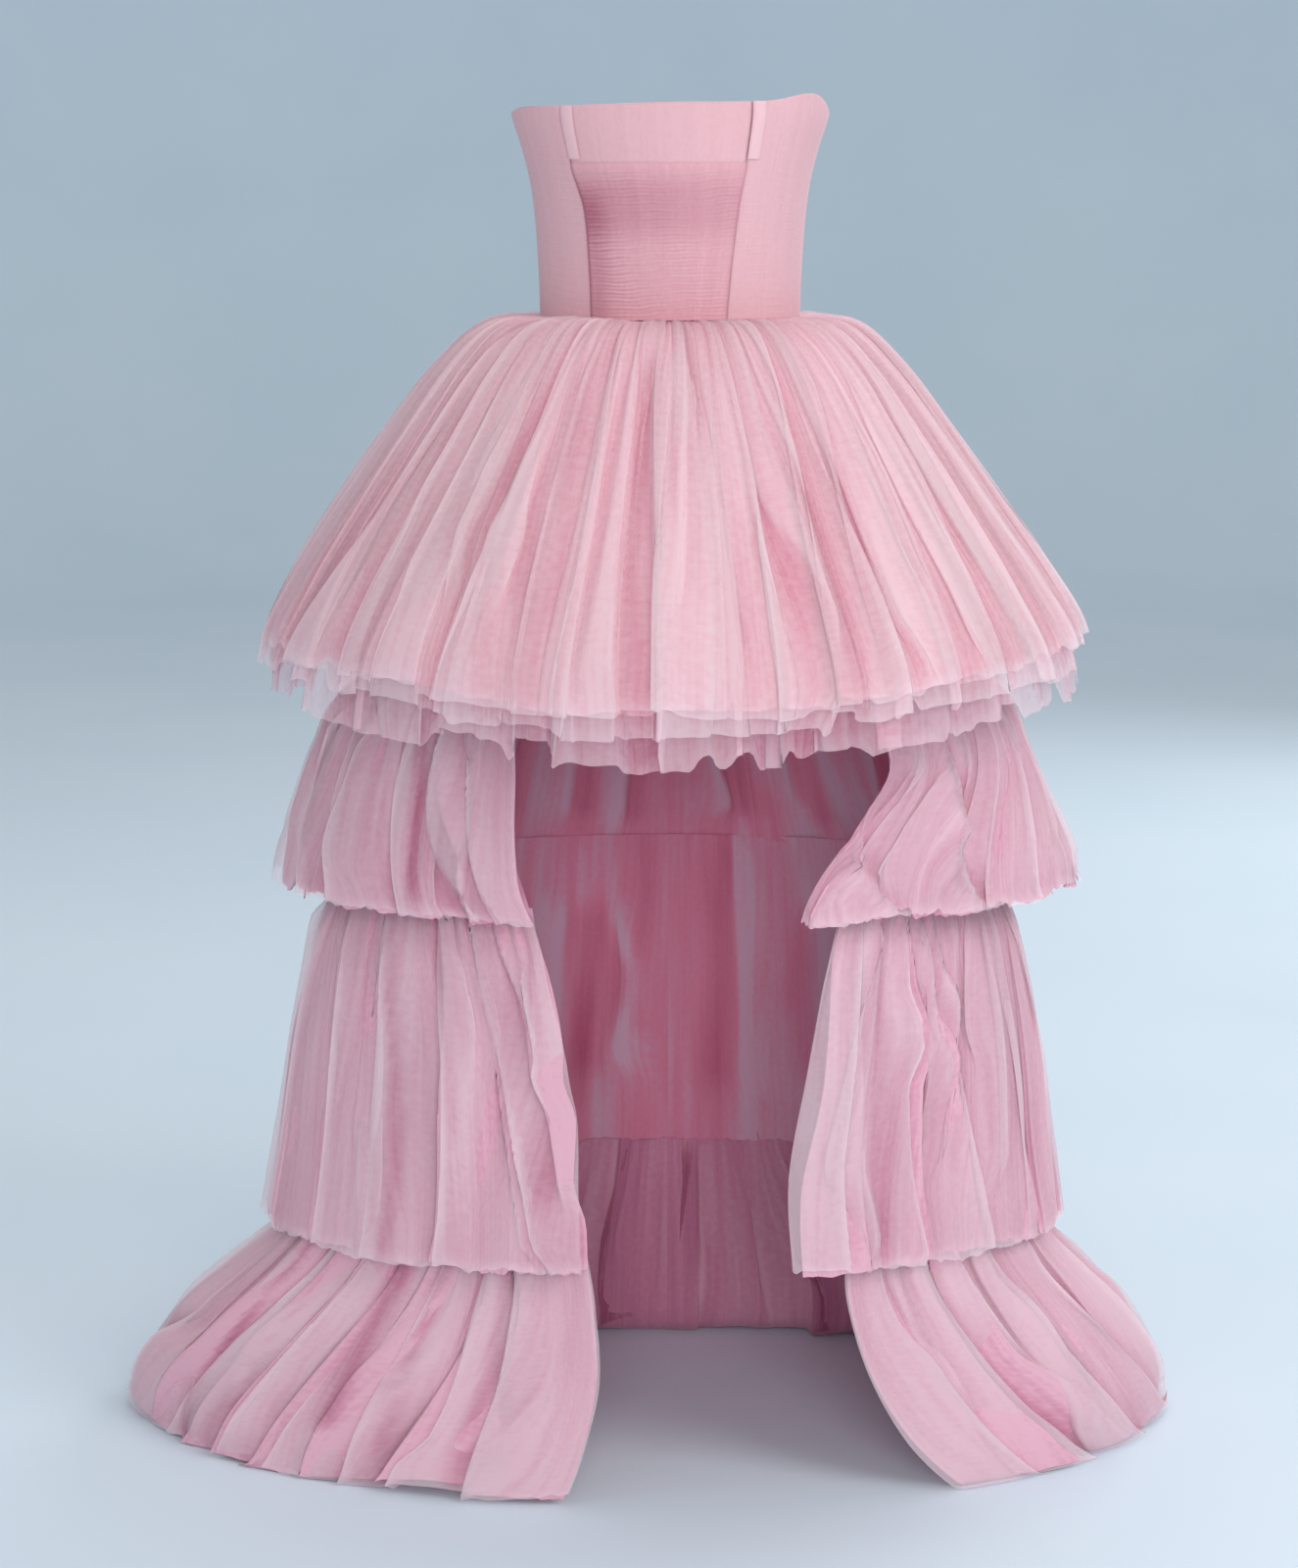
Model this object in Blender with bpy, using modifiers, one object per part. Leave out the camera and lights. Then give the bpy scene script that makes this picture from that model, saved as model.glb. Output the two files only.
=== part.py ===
"""High-low prom dress: a strapless tulle gown with a domed top tier and three long tiers, open at the front.

Metres, +Z up. The origin is the middle of the waist seam, the front faces -Y, and +X is the right of
someone who looks at the front. The dress keeps the hollow form that it has when it is worn: the bodice
stands round an empty torso, the tiers flare round empty legs, and the last tier lies on the floor.

Every piece of cloth is a wall on rings. A ring is four quarter ellipses, so it has its own reach to the
left, right, front and back. Each table below holds one kind of ring, with a row for each section of the
cloth from top to bottom. Folds move the cloth in and out along its own normal, and a lower layer reads the
same rings as the layer over it, moved in. Pieces lie SEAM_GAP apart where they are sewn together.
"""

import math
from collections import namedtuple

import bmesh
import bpy
from mathutils import Vector

WALL = 0.0012  # tulle plies pressed together, and the skirt's base cloth
BODICE_WALL = 0.0015
TRIM_WALL = 0.0010  # boning channels
SEAM_GAP = 0.0003
FLOOR = -1.110  # where the last tier lies, below the waist

# The bodice, by height over the waist: reach of its inner face.
BodiceRing = namedtuple("BodiceRing", "height side front back")
BODICE_RINGS = (
    BodiceRing(0.000, 0.1220, 0.0900, 0.0860),
    BodiceRing(0.030, 0.1226, 0.0940, 0.0868),
    BodiceRing(0.065, 0.1243, 0.0990, 0.0885),
    BodiceRing(0.100, 0.1270, 0.1050, 0.0910),
    BodiceRing(0.130, 0.1314, 0.1095, 0.0935),
    BodiceRing(0.158, 0.1385, 0.1110, 0.0955),
    BodiceRing(0.187, 0.1475, 0.1098, 0.0970),
    BodiceRing(0.210, 0.1490, 0.1085, 0.0980),
)

# The top edge's height by the turn from the front, in degrees, + to the right.
TopEdge = namedtuple("TopEdge", "turn height")
TOP_EDGE = (
    TopEdge(-180, 0.178),
    TopEdge(-135, 0.180),
    TopEdge(-92, 0.187),
    TopEdge(-66, 0.194),
    TopEdge(-40, 0.1945),
    TopEdge(0, 0.197),
    TopEdge(36, 0.199),
    TopEdge(62, 0.206),
    TopEdge(88, 0.188),
    TopEdge(135, 0.180),
    TopEdge(180, 0.178),
)

# The princess seams' turns in degrees by height. The worn bodice sits turned to the left at the front.
PrincessSeam = namedtuple("PrincessSeam", "height left right")
PRINCESS_SEAMS = (
    PrincessSeam(0.000, -36.5, 24.5),
    PrincessSeam(0.050, -37.0, 26.3),
    PrincessSeam(0.100, -38.2, 28.6),
    PrincessSeam(0.145, -43.0, 30.6),
    PrincessSeam(0.210, -42.3, 29.6),
)
SIDE_SEAM_LEFT = -92.0
SIDE_SEAM_RIGHT = 88.0
PANEL_HEIGHT = 0.100  # where a panel's columns are shared out between its seams
BODICE_ROWS = 6
RUCHING_TOP = 0.143  # the ruched overlay runs from here down to the waist
CHANNEL_WIDTH = 0.012
CHANNEL_GAP_TO_RUCHING = 0.002

# The centre-back zip.
ZIP_SLOT = 0.0030  # from the centre to each back panel's edge
ZIP_TOP = 0.166
ZIP_FOOT = -0.150
ZIP_COIL_SINKS = 0.005  # below this height the coil lies flush, behind the yoke
ZIP_BEAD = 0.0022  # width of half the closed coil
ZIP_TAPE_REACH = 0.0100
ZIP_TAPE_WALL = 0.0010
ZIP_TAPE_RECESS = 0.0012  # the back curves away under the tape's outer edge
ZIP_BEAD_PROUD = 0.0009
ZIP_BEAD_DROP = 0.0001  # from the tape's face to the foot of the bead, which slants out by twice that
SLIDER_LENGTH = 0.0100
SLIDER_WIDTH = 0.0080
SLIDER_PLATE = 0.0012
CROWN_WIDTH = 0.0018
CROWN_BAR = 0.0012
CROWN_HOLE = 0.0024  # from the plate to the bar over it
PULL_BAR = 0.0012  # the pull is as thick as its own bar
PULL_WIDTH = 0.0066
PULL_LENGTH = 0.0240
PULL_WINDOW = 0.0080
PULL_SIDE_PLAY = 0.0004

# The skirt's rings from top to bottom, as the reach of the cloth's inner face. left_edge and right_edge
# are the distances of the front edges from the middle, and swing is how far the folds move the cloth.
# Reaches are measured from the ring's centre, which set_back moves to the back.
SkirtRing = namedtuple(
    "SkirtRing", "height left right front back left_edge right_edge swing set_back", defaults=(0,)
)
YOKE = (
    SkirtRing(-0.0006, 0.1220, 0.1220, 0.0900, 0.0860, 0, 0, 0),
    SkirtRing(-0.0100, 0.1226, 0.1226, 0.0908, 0.0866, 0, 0, 0),
    SkirtRing(-0.0400, 0.1380, 0.1380, 0.1030, 0.0980, 0, 0, 0),
    SkirtRing(-0.0900, 0.1650, 0.1650, 0.1230, 0.1180, 0, 0, 0),
    SkirtRing(-0.1600, 0.1980, 0.1980, 0.1430, 0.1400, 0, 0, 0),
    SkirtRing(-0.3300, 0.2600, 0.2600, 0.1780, 0.1780, 0, 0, 0),
)
TIER_1 = (
    SkirtRing(-0.0015, 0.1238, 0.1238, 0.0918, 0.0878, 0, 0, 0),
    SkirtRing(-0.0075, 0.1740, 0.1740, 0.1390, 0.1400, 0, 0, 0.003),
    SkirtRing(-0.0480, 0.2190, 0.2200, 0.1860, 0.1920, 0, 0, 0.006),
    SkirtRing(-0.1100, 0.2650, 0.2660, 0.2360, 0.2450, 0, 0, 0.009),
    SkirtRing(-0.1800, 0.3140, 0.3150, 0.2860, 0.2980, 0, 0, 0.011),
    SkirtRing(-0.2450, 0.3580, 0.3620, 0.3240, 0.3420, 0, 0, 0.012),
    SkirtRing(-0.3050, 0.3900, 0.3970, 0.3500, 0.3740, 0, 0, 0.012),
    SkirtRing(-0.3850, 0.4020, 0.4100, 0.3640, 0.3900, 0, 0, 0.012),
)
BASE_2 = (
    SkirtRing(-0.3306, 0.2600, 0.2600, 0.1780, 0.1780, 0.130, 0.170, 0),
    SkirtRing(-0.4400, 0.2950, 0.2950, 0.1880, 0.1780, 0.157, 0.202, 0.004),
    SkirtRing(-0.5450, 0.3230, 0.3200, 0.1940, 0.1800, 0.128, 0.155, 0),
)
BASE_3 = (
    SkirtRing(-0.5456, 0.3230, 0.3200, 0.1940, 0.1800, 0.128, 0.155, 0),
    SkirtRing(-0.6500, 0.3340, 0.3310, 0.1900, 0.2010, 0.112, 0.152, 0.005),
    SkirtRing(-0.7600, 0.3460, 0.3440, 0.1860, 0.2230, 0.102, 0.150, 0.005),
    SkirtRing(-0.8700, 0.3580, 0.3580, 0.1840, 0.2450, 0.086, 0.168, 0),
)
TIER_2 = (
    SkirtRing(-0.3309, 0.2618, 0.2618, 0.1798, 0.1798, 0.130, 0.170, 0),
    SkirtRing(-0.3640, 0.3160, 0.3200, 0.2020, 0.2180, 0.141, 0.190, 0.008),
    SkirtRing(-0.4110, 0.3400, 0.3420, 0.2120, 0.2380, 0.142, 0.197, 0.012),
    SkirtRing(-0.4640, 0.3580, 0.3640, 0.2190, 0.2560, 0.142, 0.160, 0.014),
    SkirtRing(-0.5120, 0.3720, 0.3860, 0.2230, 0.2700, 0.138, 0.126, 0.015),
    SkirtRing(-0.5500, 0.3800, 0.4010, 0.2240, 0.2780, 0.122, 0.116, 0.015),
)
TIER_3 = (
    SkirtRing(-0.5459, 0.3248, 0.3218, 0.1958, 0.1818, 0.128, 0.155, 0),
    SkirtRing(-0.6000, 0.3430, 0.3370, 0.2060, 0.2120, 0.110, 0.141, 0.009),
    SkirtRing(-0.6900, 0.3630, 0.3580, 0.2080, 0.2480, 0.088, 0.124, 0.014),
    SkirtRing(-0.7900, 0.3800, 0.3740, 0.2080, 0.2820, 0.078, 0.108, 0.015),
    SkirtRing(-0.8900, 0.3970, 0.3890, 0.2080, 0.3160, 0.075, 0.114, 0.010),
)
TIER_4 = (
    SkirtRing(-0.8716, 0.3580, 0.3580, 0.1840, 0.2450, 0.078, 0.166, 0, 0.000),
    SkirtRing(-0.9200, 0.4020, 0.3900, 0.2020, 0.2350, 0.070, 0.167, 0.006, 0.016),
    SkirtRing(-0.9900, 0.4780, 0.4500, 0.2370, 0.2110, 0.066, 0.187, 0.018, 0.046),
    SkirtRing(-1.0550, 0.5260, 0.4900, 0.2740, 0.1860, 0.080, 0.221, 0.023, 0.076),
    SkirtRing(-1.1000, 0.5380, 0.5040, 0.3030, 0.1780, 0.096, 0.260, 0.016, 0.098),
    SkirtRing(FLOOR, 0.5440, 0.5120, 0.3180, 0.2260, 0.104, 0.280, 0.008, 0.112),
    SkirtRing(FLOOR, 0.5480, 0.5180, 0.3260, 0.3840, 0.108, 0.286, 0.008, 0.116),
)

# Folds that run all round a tier. count folds, with the given share of the swing, start at phase degrees.
FoldRound = namedtuple("FoldRound", "count share phase")
DOME_FOLDS = (
    FoldRound(15, 0.56, 25),
    FoldRound(11, 0.30, 110),
    FoldRound(6, 0.14, 200),
)
TIER_FOLDS = (
    FoldRound(12, 0.58, 60),
    FoldRound(8, 0.28, 10),
    FoldRound(5, 0.14, 150),
)
SWEEP_FOLDS = (
    FoldRound(14, 0.62, 40),
    FoldRound(10, 0.26, 170),
    FoldRound(6, 0.12, 90),
)

# The largest single folds of the domed tier: turn and half width in degrees, depth in swings, + outwards.
SingleFold = namedtuple("SingleFold", "turn half_width depth")
DOME_SINGLES = (
    SingleFold(-52, 7, 0.7),
    SingleFold(-31, 6, -0.8),
    SingleFold(-4, 6, -1.3),
    SingleFold(8, 6, 0.9),
    SingleFold(27, 7, -0.7),
    SingleFold(48, 8, 0.8),
)
TIER_SINGLES = (
    SingleFold(-40, 8, -0.8),
    SingleFold(-27, 6, 0.9),
    SingleFold(38, 7, 0.8),
    SingleFold(54, 8, -0.7),
)

SEAM_HOLDS = math.radians(14)  # to each side of the centre-back seam

DOME_COLUMNS = 60
YOKE_COLUMNS = 30
HALF_COLUMNS = 18
SWEEP_HALF_COLUMNS = 21
BASE_HALF_COLUMNS = HALF_COLUMNS // 2  # so that a base and the tier on it share their turns

# The under-layer of the domed tier: how far it lies under the outer layer at the waist and at the hem.
UNDER_AT_WAIST = -(WALL + SEAM_GAP)
UNDER_AT_HEM = -0.008
# The hems of the domed tier, as shares of its last row, at the front and back and at the sides.
OUTER_HEM_FRONT, OUTER_HEM_SIDE = 0.45, 0.05
UNDER_HEM_FRONT, UNDER_HEM_SIDE = 0.95, 0.12
HEM_DROOP = 4  # how closely the hem's droop keeps to the front and back

BODICE_PINK = (0.80, 0.48, 0.53, 1)
RUCHED_PINK = (0.70, 0.36, 0.44, 1)
CHANNEL_PINK = (0.86, 0.60, 0.64, 1)
DOME_PINK = (0.83, 0.52, 0.57, 1)
TIER_PINK = (0.76, 0.42, 0.50, 1)
BASE_ROSE = (0.48, 0.16, 0.25, 1)
TAPE_PINK = (0.66, 0.34, 0.42, 1)
ZIP_METAL = (0.72, 0.45, 0.46, 1)


def empty_scene():
    """Remove every object of the scene that the file opens with."""
    for old in list(bpy.data.objects):
        bpy.data.objects.remove(old, do_unlink=True)


def finish(name, colour, roughness=0.85, metallic=0.0):
    """A plain Principled material."""
    made = bpy.data.materials.new(name)
    made.use_nodes = True
    shader = made.node_tree.nodes["Principled BSDF"]
    shader.inputs["Base Color"].default_value = colour
    shader.inputs["Roughness"].default_value = roughness
    shader.inputs["Metallic"].default_value = metallic
    return made


def add_object(name, mesh, colour, dress, **surface):
    """Put a mesh in the dress's collection under its own name and material."""
    mesh.materials.clear()
    mesh.materials.append(finish(name + "_finish", colour, **surface))
    piece = bpy.data.objects.new(name, mesh)
    dress.objects.link(piece)
    return piece


def cloth_sheet(name, rows, wall, colour, dress):
    """A wall of cloth on rows of points. Rows run down, and points run from the left round the front.

    The points are the cloth's inner face, and the wall is added outwards.
    """
    bm = bmesh.new()
    grid = [[bm.verts.new(point) for point in row] for row in rows]
    for upper, lower in zip(grid, grid[1:]):
        for column in range(len(upper) - 1):
            bm.faces.new((upper[column], lower[column], lower[column + 1], upper[column + 1]))
    mesh = bpy.data.meshes.new(name)
    bm.to_mesh(mesh)
    bm.free()
    mesh.shade_smooth()
    piece = add_object(name, mesh, colour, dress)
    thicken = piece.modifiers.new("wall", "SOLIDIFY")
    thicken.thickness = wall
    thicken.offset = 1.0
    return piece


def loft(name, sections, colour, dress, **surface):
    """A solid through closed sections of points, capped at both ends."""
    bm = bmesh.new()
    rings = [[bm.verts.new(point) for point in section] for section in sections]
    count = len(rings[0])
    for upper, lower in zip(rings, rings[1:]):
        for i in range(count):
            j = (i + 1) % count
            bm.faces.new((upper[i], upper[j], lower[j], lower[i]))
    bm.faces.new(rings[0])
    bm.faces.new(rings[-1])
    bmesh.ops.recalc_face_normals(bm, faces=bm.faces)
    mesh = bpy.data.meshes.new(name)
    bm.to_mesh(mesh)
    bm.free()
    return add_object(name, mesh, colour, dress, **surface)


def smooth_read(rows, key):
    """The row of a table at any value of its first column, on a smooth curve through the rows."""
    last = len(rows) - 1
    low = max(i for i in range(last) if rows[i][0] <= key or i == 0)
    width = rows[low + 1][0] - rows[low][0]
    share = min(max((key - rows[low][0]) / width, 0.0), 1.0)
    before, after = max(low - 1, 0), min(low + 2, last)

    def slope(left, right, column):
        return (rows[right][column] - rows[left][column]) / (rows[right][0] - rows[left][0]) * width

    values = []
    for column in range(1, len(rows[0])):
        start, end = rows[low][column], rows[low + 1][column]
        leave = slope(before, low + 1, column)
        arrive = slope(low, after, column)
        square, cube = share**2, share**3
        values.append(
            (2 * cube - 3 * square + 1) * start
            + (cube - 2 * square + share) * leave
            + (3 * square - 2 * cube) * end
            + (cube - square) * arrive
        )
    return values


# ---------------------------------------------------------------- bodice


def top_edge(turn):
    """Height of the bodice's top edge at a turn in degrees."""
    return smooth_read(TOP_EDGE, turn)[0]


def bodice_point(turn, height, out=0.0):
    """Point on the bodice's inner face, moved out by a distance along the ring's normal."""
    side, front, back = smooth_read(BODICE_RINGS, height)
    angle = math.radians(turn)
    depth = front if math.cos(angle) > 0 else back
    point = Vector((side * math.sin(angle), -depth * math.cos(angle), height))
    normal = Vector((depth * math.sin(angle), -side * math.cos(angle), 0)).normalized()
    return point + normal * out


def turn_for(distance, turn, height):
    """The turn in degrees that moves a point of the bodice by a distance along its ring."""
    step = (bodice_point(turn + 0.5, height) - bodice_point(turn - 0.5, height)).length
    return distance / step


def princess_turn(side, height):
    """Turn of the left or right princess seam at a height."""
    left, right = smooth_read(PRINCESS_SEAMS, height)
    return left if side == "left" else right


def bodice_rows(left_seam, right_seam, columns, rows=range(BODICE_ROWS + 1), low=0.0, high=1.0, out=0.0):
    """Rows of points between two seams, each a function of height.

    Row 0 is the bodice's top edge and row BODICE_ROWS the waist. Cloth that lies on a panel takes some of
    the panel's own rows, cut off at its own low and high edges, so that it follows the panel closely.
    """
    grid = []
    first_turn, last_turn = left_seam(PANEL_HEIGHT), right_seam(PANEL_HEIGHT)
    for row in rows:
        line = []
        for column in range(columns + 1):
            across = column / columns
            panel_turn = first_turn + (last_turn - first_turn) * across
            height = top_edge(panel_turn) * (1 - row / BODICE_ROWS)
            height = min(max(height, low), high)
            left, right = left_seam(height), right_seam(height)
            left += turn_for(SEAM_GAP / 2, left, height)
            right -= turn_for(SEAM_GAP / 2, right, height)
            line.append(bodice_point(left + (right - left) * across, height, out))
        grid.append(line)
    return grid


def build_bodice(dress):
    """The five panels, the ruched overlay on the centre front and the two boning channels."""

    def left_princess(height):
        return princess_turn("left", height)

    def right_princess(height):
        return princess_turn("right", height)

    def left_side(height):
        return SIDE_SEAM_LEFT

    def right_side(height):
        return SIDE_SEAM_RIGHT

    def back_left(height):
        return -180 + turn_for(ZIP_SLOT, -180, height)

    def back_right(height):
        return 180 - turn_for(ZIP_SLOT, 180, height)

    panels = (
        ("bodice_centre_front", left_princess, right_princess, 8),
        ("bodice_side_front_left", left_side, left_princess, 6),
        ("bodice_side_front_right", right_princess, right_side, 6),
        ("bodice_back_left", back_left, left_side, 7),
        ("bodice_back_right", right_side, back_right, 7),
    )
    for name, left_seam, right_seam, columns in panels:
        rows = bodice_rows(left_seam, right_seam, columns)
        cloth_sheet(name, rows, BODICE_WALL, BODICE_PINK, dress)

    over_panel = BODICE_WALL + SEAM_GAP
    below_top = range(1, BODICE_ROWS + 1)
    ruching = bodice_rows(
        left_princess, right_princess, 8, below_top, SEAM_GAP, RUCHING_TOP, over_panel
    )
    cloth_sheet("ruched_overlay_front", ruching, WALL, RUCHED_PINK, dress)

    def channel_end(side):
        return lambda height: princess_turn(side, height) + turn_for(
            CHANNEL_WIDTH, princess_turn(side, height), height
        )

    foot = RUCHING_TOP + WALL + CHANNEL_GAP_TO_RUCHING
    for side, seam in (("left", left_princess), ("right", right_princess)):
        strip = bodice_rows(seam, channel_end(side), 2, range(3), foot, out=over_panel)
        cloth_sheet("boning_channel_" + side, strip, TRIM_WALL, CHANNEL_PINK, dress)


# ---------------------------------------------------------------- skirt


def between(rings, level):
    """The ring at a level that may lie between two rows of a table."""
    low = min(int(level), len(rings) - 2)
    share = level - low
    return SkirtRing(*(a + (b - a) * share for a, b in zip(rings[low], rings[low + 1])))


def around(ring, turn):
    """Point on a ring at a turn in radians from the front, + to the right."""
    side = ring.right if math.sin(turn) > 0 else ring.left
    depth = ring.front if math.cos(turn) > 0 else ring.back
    return Vector((side * math.sin(turn), ring.set_back - depth * math.cos(turn), ring.height))


def outward(rings, level, turn):
    """Normal of the smooth skirt, pointing out."""
    step = 0.01
    last = len(rings) - 1
    above = around(between(rings, max(level - step, 0)), turn)
    below = around(between(rings, min(level + step, last)), turn)
    ring = between(rings, level)
    along = around(ring, turn + step) - around(ring, turn - step)
    return (below - above).cross(along).normalized()


def fold_height(folds, singles, turn):
    """How far out the folds carry the cloth at a turn in radians, in swings.

    The centre-back seam holds the cloth, so the folds fade out beside it.
    """
    height = sum(f.share * math.sin(f.count * turn + math.radians(f.phase)) for f in folds)
    from_seam = (math.pi - abs(turn)) / SEAM_HOLDS
    if from_seam < 1:
        height *= math.sin(from_seam * math.pi / 2) ** 2
    for fold in singles:
        away = abs(math.degrees(turn) - fold.turn) / fold.half_width
        if away < 1:
            height += fold.depth * math.cos(away * math.pi / 2) ** 2
    return height


def skirt_point(rings, level, turn, cloth_turn, folds, singles, out):
    """Point of a folded skirt. Folds follow the cloth, so they are read at its turn on the top row.

    Cloth that would sink into the floor lies on it.
    """
    ring = between(rings, level)
    lift = out + ring.swing * fold_height(folds, singles, cloth_turn)
    point = around(ring, turn) + outward(rings, level, turn) * lift
    point.z = max(point.z, FLOOR)
    return point


def back_turn(ring):
    """Turn of the centre-back seam's edge, half a seam's gap from the centre."""
    return math.pi - SEAM_GAP / 2 / min(ring.left, ring.right)


def ring_turns(ring, half):
    """First and last turn of a piece on a ring: the whole round, or its left or right half."""
    if half == "round":
        return -back_turn(ring), back_turn(ring)
    if half == "left":
        return -back_turn(ring), -math.asin(ring.left_edge / ring.left)
    return math.asin(ring.right_edge / ring.right), back_turn(ring)


def skirt_rows(rings, half, columns, folds, singles=(), out=lambda level: 0.0, hem=None):
    """Rows of points of one skirt piece. hem gives the last row's share at a turn, or None for all of it."""
    grid = []
    last = len(rings) - 1
    first_turn, last_turn = ring_turns(rings[0], half)
    for row in range(last + 1):
        line = []
        for column in range(columns + 1):
            across = column / columns
            cloth_turn = first_turn + (last_turn - first_turn) * across
            level = row if hem is None or row < last else last - 1 + hem(cloth_turn)
            start, end = ring_turns(between(rings, level), half)
            turn = start + (end - start) * across
            line.append(skirt_point(rings, level, turn, cloth_turn, folds, singles, out(level)))
        grid.append(line)
    return grid


def dome_hem(front, side):
    """Hem of the domed tier as a share of its last row, lower at the front and back than at the sides."""
    return lambda turn: side + (front - side) * abs(math.cos(turn)) ** HEM_DROOP


def under_layer(level):
    """How far the under-layer lies inside the outer layer at a level."""
    share = min(level / (len(TIER_1) - 1), 1.0)
    return UNDER_AT_WAIST + (UNDER_AT_HEM - UNDER_AT_WAIST) * share


def build_skirt(dress):
    """The yoke, the domed tier's two layers, the base panels and the three tiers sewn on them."""
    yoke = skirt_rows(YOKE, "round", YOKE_COLUMNS, DOME_FOLDS)
    cloth_sheet("skirt_yoke", yoke, WALL, BASE_ROSE, dress)

    hem = dome_hem(OUTER_HEM_FRONT, OUTER_HEM_SIDE)
    outer = skirt_rows(TIER_1, "round", DOME_COLUMNS, DOME_FOLDS, DOME_SINGLES, hem=hem)
    cloth_sheet("tier_1_outer", outer, WALL, DOME_PINK, dress)
    hem = dome_hem(UNDER_HEM_FRONT, UNDER_HEM_SIDE)
    under = skirt_rows(TIER_1, "round", DOME_COLUMNS, DOME_FOLDS, DOME_SINGLES, under_layer, hem)
    cloth_sheet("tier_1_under", under, WALL, CHANNEL_PINK, dress)

    pieces = (
        ("base_2", BASE_2, BASE_HALF_COLUMNS, DOME_FOLDS, (), BASE_ROSE),
        ("base_3", BASE_3, BASE_HALF_COLUMNS, TIER_FOLDS, (), BASE_ROSE),
        ("tier_2", TIER_2, HALF_COLUMNS, TIER_FOLDS, TIER_SINGLES, TIER_PINK),
        ("tier_3", TIER_3, HALF_COLUMNS, DOME_FOLDS, TIER_SINGLES, TIER_PINK),
        ("tier_4", TIER_4, SWEEP_HALF_COLUMNS, SWEEP_FOLDS, (), TIER_PINK),
    )
    for name, rings, columns, folds, singles, colour in pieces:
        for half in ("left", "right"):
            rows = skirt_rows(rings, half, columns, folds, singles)
            cloth_sheet(name + "_" + half, rows, WALL, colour, dress)


# ---------------------------------------------------------------- zip


def back_depth(height):
    """Where the inner face of the bodice or of the yoke lies at the centre back."""
    if height >= 0:
        return smooth_read(BODICE_RINGS, height)[2]
    lower = next(i for i, ring in enumerate(YOKE) if ring.height <= height or i == len(YOKE) - 1)
    low, high = YOKE[lower], YOKE[max(lower - 1, 0)]
    share = (height - low.height) / (high.height - low.height) if high is not low else 0.0
    return low.back + (high.back - low.back) * share


def build_zip_tape(side, dress):
    """One tape with its half of the coil, behind the back panels, from ZIP_TOP to ZIP_FOOT.

    The coil stands proud between the panels' edges, and lies behind the yoke's edges below the waist.
    """
    sign = -1 if side == "left" else 1
    bends = [ring.height for ring in BODICE_RINGS + YOKE if ZIP_FOOT < ring.height < ZIP_TOP]
    sections = []
    for height in sorted(bends + [ZIP_TOP, ZIP_FOOT, ZIP_COIL_SINKS], reverse=True):
        face = back_depth(height) - SEAM_GAP
        proud = ZIP_BEAD_PROUD if height > ZIP_COIL_SINKS else 0.0
        outline = (
            (SEAM_GAP / 2, face - ZIP_TAPE_WALL),
            (SEAM_GAP / 2, face + proud),
            (ZIP_BEAD, face + proud),
            (ZIP_BEAD + 2 * ZIP_BEAD_DROP, face - ZIP_BEAD_DROP),
            (ZIP_TAPE_REACH, face - ZIP_TAPE_RECESS),
            (ZIP_TAPE_REACH, face - ZIP_TAPE_RECESS - ZIP_TAPE_WALL),
        )
        sections.append([Vector((sign * x, y, height)) for x, y in outline])
    loft("zip_tape_" + side, sections, TAPE_PINK, dress)


def block(name, low, high):
    """A box mesh object between two corners, outside the dress's collection."""
    low, high = Vector(low), Vector(high)
    bm = bmesh.new()
    bmesh.ops.create_cube(bm, size=1.0)
    bmesh.ops.scale(bm, vec=high - low, verts=bm.verts)
    bmesh.ops.translate(bm, vec=(low + high) / 2, verts=bm.verts)
    mesh = bpy.data.meshes.new(name)
    bm.to_mesh(mesh)
    bm.free()
    return bpy.data.objects.new(name, mesh)


def joined(name, base, others, helpers, colour, dress, operation="UNION", **surface):
    """The base block with the others added to it or cut from it."""
    piece = add_object(name, base.data, colour, dress, **surface)
    bpy.data.objects.remove(base)
    for other in others:
        helpers.objects.link(other)
        other.hide_render = True
        other.display_type = "WIRE"
        step = piece.modifiers.new(other.name, "BOOLEAN")
        step.operation = operation
        step.object = other
    return piece


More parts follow.
